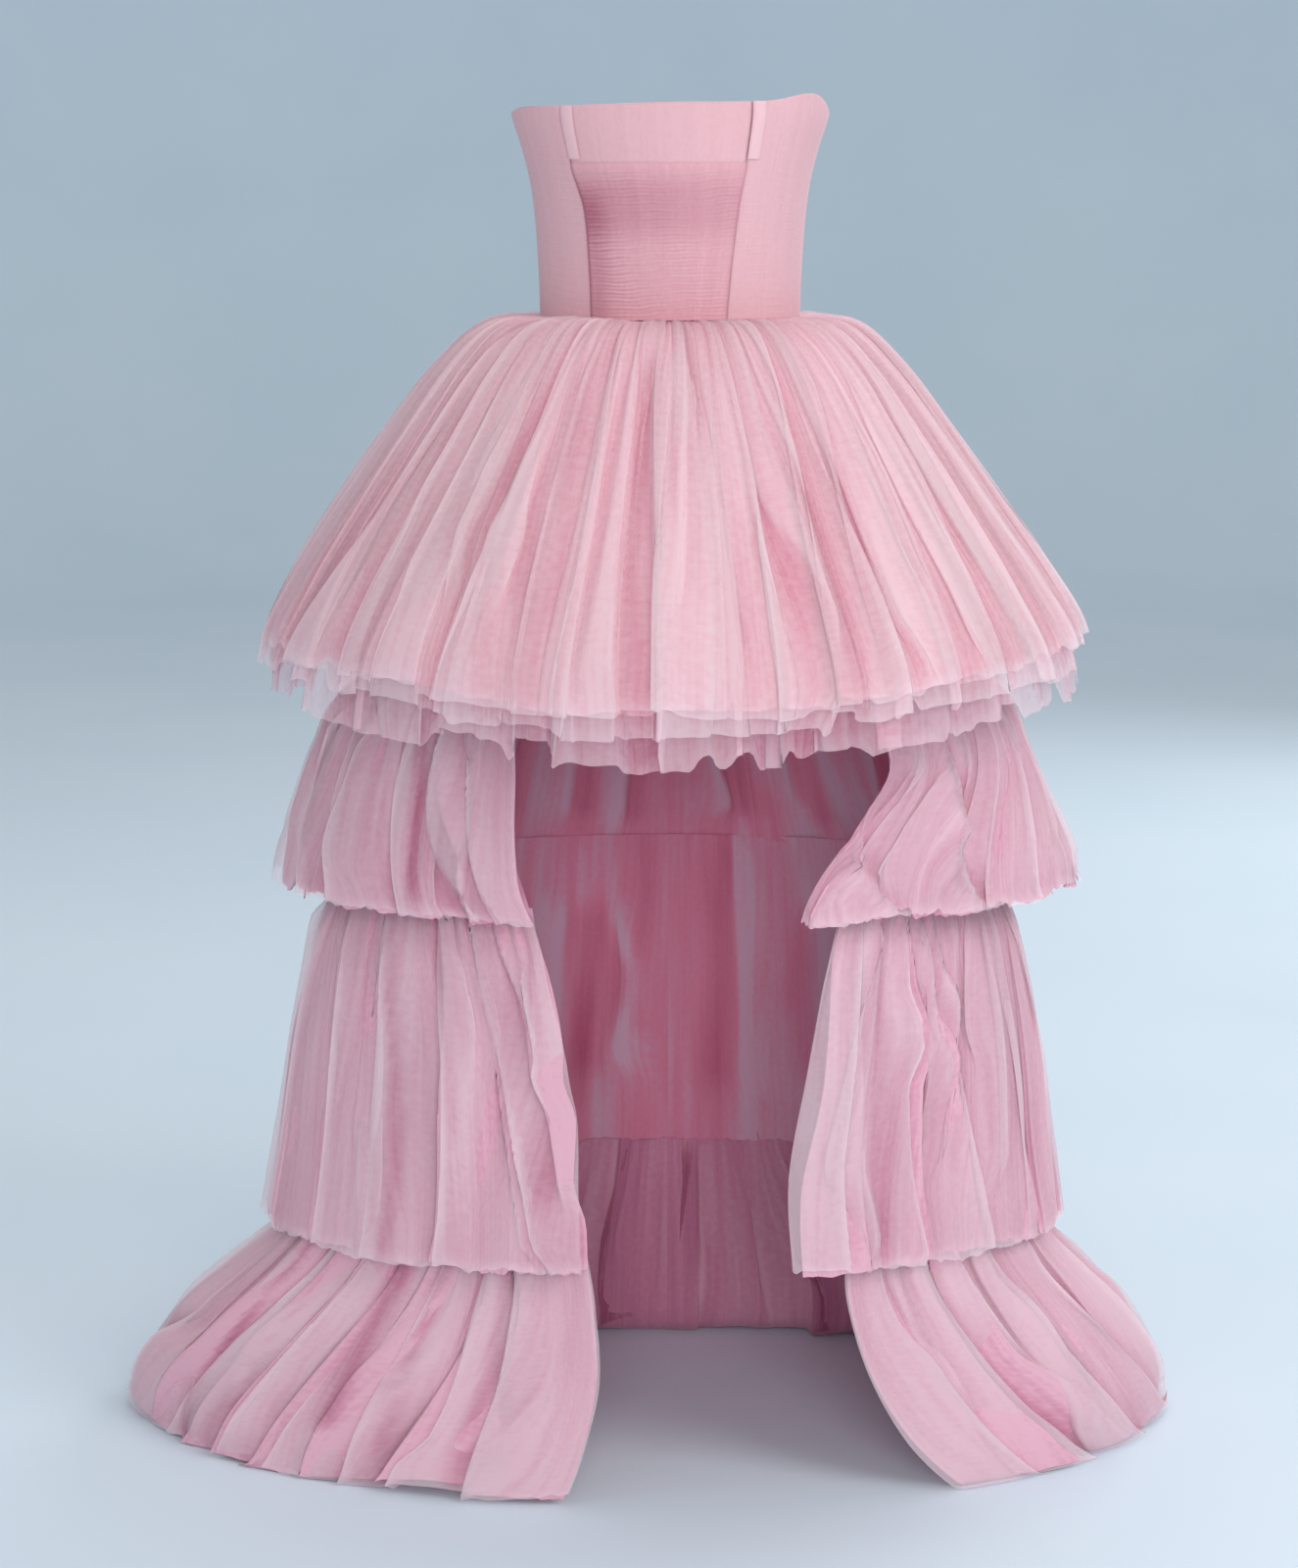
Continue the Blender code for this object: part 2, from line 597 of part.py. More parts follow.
def build_slider(dress, helpers):
    """The slider at the top of the closed zip, and the pull that hangs on its crown."""
    head = ZIP_TOP + SEAM_GAP
    foot = head - SLIDER_LENGTH
    faces = (back_depth(head), back_depth(foot))
    slant = ZIP_TAPE_RECESS * SLIDER_WIDTH / 2 / ZIP_TAPE_REACH  # the tape's fall under half the slider
    inner = min(faces) - SEAM_GAP * 2 - ZIP_TAPE_WALL - slant
    outer = max(faces) + BODICE_WALL + SEAM_GAP
    plate_face = outer + SLIDER_PLATE
    half = SLIDER_WIDTH / 2
    nose_half = ZIP_SLOT - SEAM_GAP * 2
    nose_top = head + SLIDER_PLATE
    crown_half = CROWN_WIDTH / 2
    crown_top, crown_foot = head, foot + CROWN_BAR
    crown_face = plate_face + CROWN_HOLE + CROWN_BAR
    sink = 0.0002  # blocks that are joined run this far into each other

    body = block("slider_outer_plate", (-half, outer, foot), (half, plate_face, nose_top))
    parts = [
        block("slider_inner_plate", (-half, inner - SLIDER_PLATE, foot), (half, inner, nose_top)),
        block("slider_nose", (-nose_half, inner - sink, head), (nose_half, outer + sink, nose_top)),
        block(
            "slider_crown_top",
            (-crown_half, plate_face - sink, crown_top - CROWN_BAR),
            (crown_half, crown_face, crown_top),
        ),
        block(
            "slider_crown_foot",
            (-crown_half, plate_face - sink, crown_foot),
            (crown_half, crown_face, crown_foot + CROWN_BAR),
        ),
        block(
            "slider_crown_bar",
            (sink - crown_half, crown_face - CROWN_BAR, crown_foot + sink),
            (crown_half - sink, crown_face - sink, crown_top - sink),
        ),
    ]
    metal = {"roughness": 0.35, "metallic": 0.9}
    joined("zip_slider", body, parts, helpers, ZIP_METAL, dress, **metal)

    axis_y = plate_face + CROWN_HOLE / 2
    axis_z = crown_foot + CROWN_BAR + CROWN_HOLE / 2
    pivot = bpy.data.objects.new("zip_pull_pivot", None)
    pivot.location = (0, axis_y, axis_z)
    dress.objects.link(pivot)

    half = PULL_WIDTH / 2
    window_half = crown_half + PULL_SIDE_PLAY
    bar = PULL_BAR / 2
    tab = block("pull_tab", (-half, -bar, -PULL_LENGTH), (half, bar, bar))
    window = block("pull_window", (-window_half, -2 * bar, -PULL_WINDOW), (window_half, 2 * bar, -bar))
    window.location = pivot.location
    pull = joined("zip_pull", tab, [window], helpers, ZIP_METAL, dress, "DIFFERENCE", **metal)
    pull.parent = pivot


def main():
    empty_scene()
    dress = bpy.data.collections.new("high_low_prom_dress")
    helpers = bpy.data.collections.new("helpers")
    for group in (dress, helpers):
        bpy.context.scene.collection.children.link(group)
    build_bodice(dress)
    build_skirt(dress)
    for side in ("left", "right"):
        build_zip_tape(side, dress)
    build_slider(dress, helpers)


main()
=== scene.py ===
"""The looks of a strapless high-low prom dress in pale pink tulle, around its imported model.

Metres, +Z up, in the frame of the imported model: the origin is the middle of the waist seam, and the front
faces -Y. Left and right are those of someone who looks at the front. Every tier of the skirt is several
thin plies of tulle. A ply lies on its tier's rings, and its folds move it along and out of that form.
"""

import functools
import logging
import math
from collections.abc import Callable, Sequence
from dataclasses import dataclass
from enum import Enum

import bpy
import numpy as np
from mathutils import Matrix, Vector


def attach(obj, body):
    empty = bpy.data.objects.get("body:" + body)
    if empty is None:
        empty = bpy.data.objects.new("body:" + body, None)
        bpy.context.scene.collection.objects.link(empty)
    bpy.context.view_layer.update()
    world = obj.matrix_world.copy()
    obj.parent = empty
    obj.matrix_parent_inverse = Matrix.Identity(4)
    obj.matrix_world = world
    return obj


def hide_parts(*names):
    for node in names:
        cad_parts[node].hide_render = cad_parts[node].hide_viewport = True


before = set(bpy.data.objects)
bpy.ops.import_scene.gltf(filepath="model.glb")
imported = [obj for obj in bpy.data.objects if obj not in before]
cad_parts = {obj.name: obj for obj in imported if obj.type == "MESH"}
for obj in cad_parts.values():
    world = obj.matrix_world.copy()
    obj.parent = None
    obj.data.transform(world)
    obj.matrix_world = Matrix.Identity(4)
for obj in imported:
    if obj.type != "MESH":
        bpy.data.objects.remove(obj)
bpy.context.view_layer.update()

log = logging.getLogger("prom_dress")

FLOOR = -1.110
GOWN = "gown"
PAINTED_SHADE_AND_DENSITY = "depth"  # vertex attribute: how deep in colour the cloth is, from 0 on a crest to 1 in a groove. It carries the painted shade and highlight of the folds, and denser and thinner cloth
CLOTH_UV = "cloth"  # UV map of every sheet, in metres on its flat cut


# ---------------------------------------------------------------- small helpers


def linear(tone: str) -> tuple[float, float, float, float]:
    """Turn an sRGB hex colour to linear.

    Args:
        tone: six hex digits after a hash.

    Returns:
        Red, green, blue and alpha.
    """
    parts = [int(tone[i : i + 2], 16) / 255 for i in (1, 3, 5)]
    red, green, blue = ((c / 12.92 if c <= 0.04045 else ((c + 0.055) / 1.055) ** 2.4) for c in parts)
    return red, green, blue, 1.0


def ease(x: np.ndarray) -> np.ndarray:
    """A soft step from 0 to 1 as x goes from 0 to 1."""
    x = np.clip(x, 0.0, 1.0)
    return x * x * (3 - 2 * x)


def bump(x: np.ndarray) -> np.ndarray:
    """A soft bell over x from -2 to 2, 1 in its middle."""
    return np.exp(-x * x)


def add_node(
    tree: bpy.types.NodeTree,
    kind: str,
    values: dict[str | int, object] | None = None,
    links: dict[str | int, bpy.types.NodeSocket] | None = None,
    **settings: object,
) -> bpy.types.Node:
    """Add one node to a material.

    Args:
        tree: the material's node tree.
        kind: the node's type name.
        values: fixed values of its inputs.
        links: output sockets that feed its inputs.
        **settings: the node's own properties.

    Returns:
        The new node.
    """
    node = tree.nodes.new(kind)
    for name, value in settings.items():
        setattr(node, name, value)
    for name, value in (values or {}).items():
        node.inputs[name].default_value = value
    for name, socket in (links or {}).items():
        tree.links.new(socket, node.inputs[name])
    return node


def smooth_read(rows: Sequence[Sequence[float]], key: np.ndarray) -> list[np.ndarray]:
    """Read a table on a smooth curve through its rows.

    Args:
        rows: the table, with its key in the first column.
        key: where to read it.

    Returns:
        The other columns' values at key.
    """
    table = np.array(rows, dtype=float)
    keys = table[:, 0]
    key = np.clip(key, keys[0], keys[-1])
    low = np.clip(np.searchsorted(keys, key, side="right") - 1, 0, len(keys) - 2)
    width = keys[low + 1] - keys[low]
    share = (key - keys[low]) / width
    before, after = np.maximum(low - 1, 0), np.minimum(low + 2, len(keys) - 1)
    square, cube = share**2, share**3
    values = []
    for column in range(1, table.shape[1]):
        data = table[:, column]
        leave = (data[low + 1] - data[before]) / (keys[low + 1] - keys[before]) * width
        arrive = (data[after] - data[low]) / (keys[after] - keys[low]) * width
        values.append(
            (2 * cube - 3 * square + 1) * data[low]
            + (cube - 2 * square + share) * leave
            + (3 * square - 2 * cube) * data[low + 1]
            + (cube - square) * arrive
        )
    return values


# ---------------------------------------------------------------- finishes

NET_SIZE = 0.0030  # metres. The real net's holes are about 1.5 mm wide, too fine to show
STREAK_LENGTH = 0.30  # of the light and dark streaks that run down the gathers
FINE_STREAK = (0.0034, 0.20)  # width and length of the finer streaks between them
SPECK = (0.0042, 0.00672)  # of the uneven net
NET_RELIEF = 0.0006  # metres
MOTTLE_RELIEF = 0.0002


def start_material(name: str, values: dict[str, object]) -> tuple[bpy.types.Material, bpy.types.Node]:
    """Start a material.

    Args:
        name: its name.
        values: fixed inputs of its shader.

    Returns:
        The material and its shader.
    """
    made = bpy.data.materials.new(name)
    made.use_nodes = True
    shader = made.node_tree.nodes["Principled BSDF"]
    for key, value in values.items():
        shader.inputs[key].default_value = value
    return made, shader


def colour(
    tree: bpy.types.NodeTree,
    shader: bpy.types.Node,
    shade: bpy.types.NodeSocket,
    stops: Sequence[tuple[float, str]],
) -> None:
    """Colour a shader through a ramp.

    Args:
        tree: the material's node tree.
        shader: its shader.
        shade: what the ramp reads.
        stops: places from 0 to 1 with their hex colours.
    """
    ramp = add_node(tree, "ShaderNodeValToRGB", links={"Fac": shade})
    elements = ramp.color_ramp.elements
    while len(elements) < len(stops):
        elements.new(0.5)
    for element, (place, tone) in zip(elements, stops):
        element.position = place
        element.color = linear(tone)
    tree.links.new(ramp.outputs["Color"], shader.inputs["Base Color"])


def raise_relief(
    tree: bpy.types.NodeTree,
    shader: bpy.types.Node,
    height: bpy.types.NodeSocket,
    strength: float,
    distance: float,
) -> None:
    """Give a shader fine relief.

    Args:
        tree: the material's node tree.
        shader: its shader.
        height: what the relief reads.
        strength: from 0 to 1.
        distance: its height in metres.
    """
    values = {"Strength": strength, "Distance": distance}
    relief = add_node(tree, "ShaderNodeBump", values, {"Height": height})
    tree.links.new(relief.outputs["Normal"], shader.inputs["Normal"])


def vary(
    tree: bpy.types.NodeTree,
    place: bpy.types.NodeSocket,
    shade: bpy.types.NodeSocket,
    size: tuple[float, float],
    amount: float,
) -> bpy.types.NodeSocket:
    """Make a shade uneven with a noise that is stretched along the cloth.

    Args:
        tree: the material's node tree.
        place: where on the flat cloth a point lies, in metres.
        shade: the shade before.
        size: width and length of the noise in metres.
        amount: how strong it is.

    Returns:
        The shade after.
    """
    stretch = {"Scale": (1 / size[0], 1 / size[1], 1)}
    stretched = add_node(tree, "ShaderNodeMapping", stretch, {"Vector": place})
    noise = add_node(
        tree,
        "ShaderNodeTexNoise",
        {"Scale": 1.0, "Detail": 2.0, "Roughness": 0.6},
        {"Vector": stretched.outputs["Vector"]},
        noise_dimensions="2D",
    )
    read = {0: noise.outputs["Fac"]}
    centred = add_node(tree, "ShaderNodeMath", {1: 0.5}, read, operation="SUBTRACT")
    read = {0: centred.outputs["Value"], 2: shade}
    mixed = add_node(tree, "ShaderNodeMath", {1: amount}, read, operation="MULTIPLY_ADD")
    return mixed.outputs["Value"]


@dataclass(frozen=True)
class Tulle:
    """Soft nylon tulle, a knitted hexagonal net: matt, with a faint sheen, and deeper in colour in the
    folds, where the plies gather denser and where painted shade lies.

    The net is drawn NET_SIZE wide, coarser than the real one.
    """

    name: str
    # Colours from a fold's crest to its groove: painted highlight on crests, painted shade and denser cloth
    # in grooves.
    crest: str
    middle: str
    valley: str
    alpha: float = 1.0
    streak_width: float = 0.011
    streaks: float = 0.55
    fine_streaks: float = 0.75
    specks: float = 0.55
    relief: float = 0.12  # of the net; 0 on plies that others cover

    def make(self) -> bpy.types.Material:
        """Build the material."""
        values = {
            "Roughness": 0.85,
            "Specular IOR Level": 0.2,
            "Alpha": self.alpha,
            "Sheen Weight": 0.25,
            "Sheen Roughness": 0.45,
            "Sheen Tint": linear("#fbeef2"),
        }
        made, shader = start_material(self.name, values)
        tree = made.node_tree
        cloth = add_node(tree, "ShaderNodeUVMap", uv_map=CLOTH_UV).outputs["UV"]
        shade = add_node(tree, "ShaderNodeAttribute", attribute_name=PAINTED_SHADE_AND_DENSITY).outputs["Fac"]
        for size, amount in (
            ((self.streak_width, STREAK_LENGTH), self.streaks),
            (FINE_STREAK, self.fine_streaks),
            (SPECK, self.specks),
        ):
            shade = vary(tree, cloth, shade, size, amount)
        colour(tree, shader, shade, ((0.0, self.crest), (0.35, self.middle), (1.0, self.valley)))
        if self.relief:
            net = add_node(
                tree,
                "ShaderNodeTexVoronoi",
                {"Scale": 1 / NET_SIZE, "Randomness": 0.6},
                {"Vector": cloth},
                voronoi_dimensions="2D",
                feature="F1",
            )
            raise_relief(tree, shader, net.outputs["Distance"], self.relief, NET_RELIEF)
        return made


@dataclass(frozen=True)
class Plain:
    """A plain painted, woven or moulded surface with faint mottling, for the zip and the studio."""

    name: str
    light: str
    dark: str
    roughness: float
    grain: float  # size of its mottling in metres
    metallic: float = 0.0
    relief: float = 0.1

    def make(self) -> bpy.types.Material:
        """Build the material."""
        values = {"Roughness": self.roughness, "Metallic": self.metallic}
        made, shader = start_material(self.name, values)
        tree = made.node_tree
        place = add_node(tree, "ShaderNodeTexCoord").outputs["Object"]
        values = {"Scale": 1 / self.grain, "Detail": 2.0}
        mottle = add_node(tree, "ShaderNodeTexNoise", values, {"Vector": place}).outputs["Fac"]
        colour(tree, shader, mottle, ((0.3, self.dark), (0.7, self.light)))
        if self.relief:
            raise_relief(tree, shader, mottle, self.relief, MOTTLE_RELIEF)
        return made


@functools.cache
def material(finish: Tulle | Plain) -> bpy.types.Material:
    """The material of a finish, made once."""
    return finish.make()


# Dyed nylon tulle, knitted as a net: see-through in one ply, and deeper in colour where plies lie close in
# the folds, with painted shade there.
SHEER = Tulle("tulle_outer_ply", "#fbe6eb", "#f5d0d8", "#e095a9", alpha=0.36)
SHEER_UNDER = Tulle("tulle_under_ply", "#f2d2da", "#eabdc9", "#d17d98", alpha=0.44, relief=0.0)
TIER_SHEER = Tulle(
    "tulle_tier_outer_ply", "#f6e0e7", "#eecad5", "#d58ba3", alpha=0.42, fine_streaks=0.5, specks=0.4
)
# Several plies of the same net sewn as one: hardly see-through, so they are drawn closed, and matt.
DENSE = Tulle("tulle_inner_ply", "#eabfca", "#dea2b1", "#c8758e", fine_streaks=0.4, relief=0.0)
TIER_UNDER = Tulle(
    "tulle_tier_under_ply", "#e0aebe", "#d092a7", "#a95a79", fine_streaks=0.4, specks=0.4, relief=0.0
)
TIER_DENSE = Tulle(
    "tulle_tier_inner_ply", "#d9a3b8", "#cd87a3", "#ad5f84", fine_streaks=0.3, specks=0.3, relief=0.0
)
# Rose tulle over a woven base, seen in the gown's own shade: deep, with broad grey-lilac streaks.
BASE_ROSE = Tulle(
    "tulle_base_rose", "#d9b0c6", "#df8aa5", "#c26080", 1.0, 0.024, 0.45, 0.25, specks=0.2, relief=0.0
)
# Tulle fused to a woven lining: closed, smooth and matt.
BODICE_TULLE = Tulle(
    "bodice_fused_tulle", "#e5c3c8", "#d9adb4", "#b47280", streaks=0.12, fine_streaks=0.08, specks=0.16
)
# The same tulle, pleated by hand and pinned into the seams: deeper in colour between its pleats, as painted
# shade.
RUCHED_TULLE = Tulle(
    "bodice_ruched_tulle", "#e4bdc3", "#d4a1aa", "#aa6577", streaks=0.12, fine_streaks=0.08, specks=0.16
)
# Woven cotton tape, stitched down over a bone: paler, close and matt.
CHANNEL_TAPE = Tulle(
    "channel_tape", "#e4bfc5", "#dab0b8", "#c48593", streaks=0.1, fine_streaks=0.05, specks=0.12
)
ZIP_TAPE = Plain("zip_woven_polyester_tape", "#e3b2bb", "#d79da9", 0.8, 0.0012)  # woven: close and matt
ZIP_COIL = Plain("zip_nylon_coil", "#ecc3cb", "#dfadb8", 0.45, 0.002)  # drawn nylon: smooth, a soft shine
# Die-cast zinc under pink enamel: smooth, with a soft metal shine.
ZIP_METAL = Plain("zip_painted_zinc", "#dba3ac", "#c98c98", 0.35, 0.003, metallic=0.7)
# Matt paint, rolled on: even and pale.
FLOOR_PAINT = Plain("studio_floor", "#dceef7", "#d8ebf5", 0.9, 0.6, relief=0.0)


# ---------------------------------------------------------------- forms


class Span(Enum):
    """How much of the round a piece covers."""

    ROUND = "round"
    LEFT = "left"
    RIGHT = "right"


@dataclass(frozen=True)
class Form:
    """The smooth form of a tier, on the same rings as its solid.

    A row is height, left, right, front, back, left edge, right edge and set back. Across goes from 0 to 1,
    from the left end of the piece to its right end, and level counts rows from the seam down.
    """

    rows: tuple[tuple[float, ...], ...]
    span: Span = Span.ROUND

    @property
    def last(self) -> int:
        """The level of the last row."""
        return len(self.rows) - 1

    def read(self, level: np.ndarray) -> list[np.ndarray]:
        """Read the rows at levels on a smooth curve.

        Args:
            level: levels, of any shape.

        Returns:
            The row's values, each in the shape of level.
        """
        return smooth_read([(index, *row) for index, row in enumerate(self.rows)], level)

    def place(self, across: np.ndarray, level: np.ndarray) -> np.ndarray:
        """Find points of the smooth form.

        Args:
            across: from 0 to 1 along the piece.
            level: rows down from the seam.

        Returns:
            Points, with x, y and z on the last axis.
        """
        height, left, right, front, back, left_edge, right_edge, set_back = self.read(level)
        first = -math.pi if self.span is not Span.RIGHT else np.arcsin(np.clip(right_edge / right, 0, 1))
        final = math.pi if self.span is not Span.LEFT else -np.arcsin(np.clip(left_edge / left, 0, 1))
        turn = first + (final - first) * across
        side = np.where(np.sin(turn) > 0, right, left)
        depth = np.where(np.cos(turn) > 0, front, back)
        return np.stack((side * np.sin(turn), set_back - depth * np.cos(turn), height), -1)

    def outward(self, across: np.ndarray, level: np.ndarray) -> np.ndarray:
        """Find normals of the smooth form.

        Args:
            across: from 0 to 1 along the piece.
            level: rows down from the seam.

        Returns:
            Unit vectors that point out of the tier.
        """
        step, drop = 0.002, 0.03
        along = self.place(across + step, level) - self.place(across - step, level)
        down = self.place(across, np.minimum(level + drop, self.last))
        down = down - self.place(across, np.maximum(level - drop, 0))
        normal = np.cross(down, along)
        return normal / np.maximum(np.linalg.norm(normal, axis=-1, keepdims=True), 1e-9)

    def slant(self, line: np.ndarray) -> tuple[np.ndarray, np.ndarray]:
        """How far down the cloth each level lies.

        Args:
            line: shares across.

        Returns:
            A rising list of levels, and a list of lengths in metres for each share across.
        """
        levels = np.linspace(0, self.last, 200)
        across, level = np.meshgrid(line, levels)
        steps = np.linalg.norm(np.diff(self.place(across, level), axis=0), axis=-1)
        lengths = np.concatenate((np.zeros((1, len(line))), np.cumsum(steps, axis=0)))
        return levels, lengths.T


# ---------------------------------------------------------------- folds


@dataclass(frozen=True)
class Crease:
    """One fold: a groove, with an edge that leans over it.

    start and end are its places across, at its top and its foot. top and foot are shares down the cloth.
    width is its half width as a share across, depth is in metres, and lip is how far the edge leans over
    the groove, in widths: + where the right edge leans to the left.
    """

    start: float
    end: float
    top: float
    foot: float
    width: float
    depth: float
    lip: float


@dataclass(frozen=True)
class Gathers:
    """Small folds all along a seam or a hem, each as uneven as its neighbours."""

    count: float
    height: float  # metres
    top: float  # shares down the cloth between which they show
    foot: float
    lean: float


@dataclass(frozen=True)
class Folds:
    """All the folds of one ply: main creases, gathers and soft dents."""

    creases: Sequence[Crease]
    gathers: Sequence[Gathers]
    seed: int  # of the ply's own unevenness
    span: Span

    FADE = 0.12  # share down the cloth over which a crease starts and ends
    REACH = 11  # how many half widths of a crease its face takes to run out
    RISE = 0.50  # share of a crease's depth that its edge stands up
    DROP = 0.62  # share that its groove goes down
    SHARP_DEPTH = 0.006  # depth from which a crease's edge is quite sharp
    PAINTED_GROOVE_SHADE = 0.22  # painted shade in a sharp crease's groove
    PAINTED_EDGE_HIGHLIGHT = 0.26  # and painted highlight on its edge
    DENT_COUNT = 10
    DENTS = 0.0014  # height of the soft dents in metres
    SEAM = 0.025  # share across beside the centre-back seam that lies still

    def read(self, across: np.ndarray, down: np.ndarray) -> tuple[np.ndarray, np.ndarray, np.ndarray]:
        """How the folds move the cloth, and the painted shade and highlight they give it.

        Args:
            across: grid of shares across, the same in each row.
            down: grid of shares down.

        Returns:
            The shift across, as a share, the lift out of the form in metres, and the painted shade of the
            grooves and painted highlight of the edges that add to what the lift paints, as a share.
        """
        random = np.random.default_rng(self.seed)
        shift, lift, edge = np.zeros_like(across), np.zeros_like(across), np.zeros_like(across)
        line = across[0]
        for crease in self.creases:
            uneven = random.uniform(0.75, 1.25, 3)
            wander = random.uniform(-0.4, 0.4)
            reach = crease.width * self.REACH
            low, high = sorted((crease.start, crease.end))
            columns = slice(*np.searchsorted(line, (low - reach, high + reach)))
            if columns.start == columns.stop:
                continue
            near = across[:, columns], down[:, columns]
            moved, lifted, shaded = self.fold(crease, *near, uneven, wander)
            shift[:, columns] += moved
            lift[:, columns] += lifted
            edge[:, columns] += shaded
        for gather in self.gathers:
            moved, lifted = self.gather(gather, across, down, random.uniform(0, 2 * math.pi, 8))
            shift += moved
            lift += lifted
        for _ in range(self.DENT_COUNT):
            wide, long, phase = random.uniform(6, 44), random.uniform(-9, 9), random.uniform(0, 6.28)
            dent = np.sin(wide * across * 2 + long * down + phase)
            lift += self.DENTS * np.minimum(1, down * 3) * dent / 2
        hold = np.ones_like(across)
        if self.span is not Span.RIGHT:
            hold = hold * ease(across / self.SEAM)
        if self.span is not Span.LEFT:
            hold = hold * ease((1 - across) / self.SEAM)
        return shift * hold, lift * hold, edge * hold

    def fold(
        self, crease: Crease, across: np.ndarray, down: np.ndarray, uneven: np.ndarray, wander: float
    ) -> tuple[np.ndarray, np.ndarray, np.ndarray]:
        """How one crease moves the cloth near it, and the painted shade and highlight it gives it.

        Args:
            crease: the crease.
            across: shares across.
            down: shares down.
            uneven: how much wider, deeper and more leaning than stated it is.
            wander: how far it swings beside its line, in half widths.

        Returns:
            What it adds to the shift, the lift and the painted shade.
        """
        way = np.clip((down - crease.top) / max(crease.foot - crease.top, 0.01), 0, 1)
        centre = crease.start + (crease.end - crease.start) * way
        centre = centre + crease.width * wander * np.sin(way * 5 + crease.start * 40)
        width = crease.width * (0.55 + 0.75 * ease(down * 1.4)) * uneven[0]
        strength = ease((down - crease.top + self.FADE) / self.FADE)
        strength = strength * ease((crease.foot + self.FADE - down) / self.FADE)
        side = math.copysign(1.0, crease.lip)
        away = (across - centre) / width * side
        depth = crease.depth * uneven[1] * strength
        lip = abs(crease.lip) * uneven[2]
        spread = 0.80 + 0.04 * lip
        over = ease((away + 0.35 * spread) / (1.3 * spread))
        face = self.RISE * over * np.exp(-np.maximum(away, 0) / 3.0) * ease((self.REACH - away) / 5)
        valley = self.DROP * (1 - over) * np.exp(-(np.minimum(away, 0) ** 2) / 2.6)
        moved = -side * lip * strength * width * bump((away - spread - 0.05) / spread)
        sharp = min(1.0, crease.depth / self.SHARP_DEPTH) * strength
        # Painted shade in the groove and painted highlight along the leaning edge.
        shaded = self.PAINTED_GROOVE_SHADE * bump((away + 0.8) / 0.8) - self.PAINTED_EDGE_HIGHLIGHT * bump((away - 0.75) / 0.36)
        return moved, depth * (face - valley), sharp * shaded

    def gather(
        self, gather: Gathers, across: np.ndarray, down: np.ndarray, phases: np.ndarray
    ) -> tuple[np.ndarray, np.ndarray]:
        """How one set of gathers moves the cloth.

        Args:
            gather: the set.
            across: shares across.
            down: shares down.
            phases: seeded phases of its unevenness.

        Returns:
            What it adds to the shift and the lift.
        """
        uneven = sum(
            np.sin(2 * math.pi * (k + 2) * across * 1.7 + phases[k]) / (k + 1.5) for k in range(4)
        )
        drift = 0.6 * np.sin(across * 41 + phases[4]) * down
        phase = 2 * math.pi * gather.count * across + 4.5 * uneven + drift * 3
        mix = 0.72 + 0.45 * np.sin(across * gather.count * 1.93 + phases[5])
        mix = mix * (0.8 + 0.4 * np.sin(down * 7 + phases[6] + across * 60))
        span = max(gather.foot - gather.top, 0.01)
        strength = ease((down - gather.top) / (0.25 * span) + 0.4)
        strength = strength * ease((gather.foot - down) / (0.5 * span))
        size = gather.height * mix * strength
        moved = gather.lean * size / gather.height * np.sin(phase) / (2 * math.pi * gather.count)
        return moved, size * np.cos(phase)


def seeded_creases(
    seed: int,
    low: float,
    high: float,
    spacing: float,
    depth: float,
    lips: tuple[float, float] = (0.9, 1.5),
    lean: float = 1.0,
    tops: tuple[float, float] = (0.0, 0.35),
    feet: tuple[float, float] = (0.6, 1.15),
) -> list[Crease]:
    """Uneven creases for a stretch of cloth.

    Args:
        seed: seed of their unevenness.
        low: share across where they start.
        high: share across where they end.
        spacing: mean distance between them, as a share across.
        depth: mean depth in metres.
        lips: least and most lean of their edges.
        lean: -1, 1 or a value between, as more edges lean to one side.
        tops: where they start, as shares down.
        feet: where they end.

    Returns:
        The creases.
    """
    random = np.random.default_rng(seed)
    made, place = [], low + spacing * 0.4
    while place < high:
        side = 1.0 if random.uniform(-1, 1) < lean else -1.0
        made.append(
            Crease(
                place,
                place + spacing * random.uniform(-0.28, 0.28),
                random.uniform(*tops) * (random.uniform() > 0.35),
                random.uniform(*feet),
                spacing * random.uniform(0.16, 0.30),
                depth * random.uniform(0.45, 1.4),
                side * random.uniform(*lips),
            )
        )
        place += spacing * random.uniform(0.55, 1.5)
    return made


# ---------------------------------------------------------------- sheets


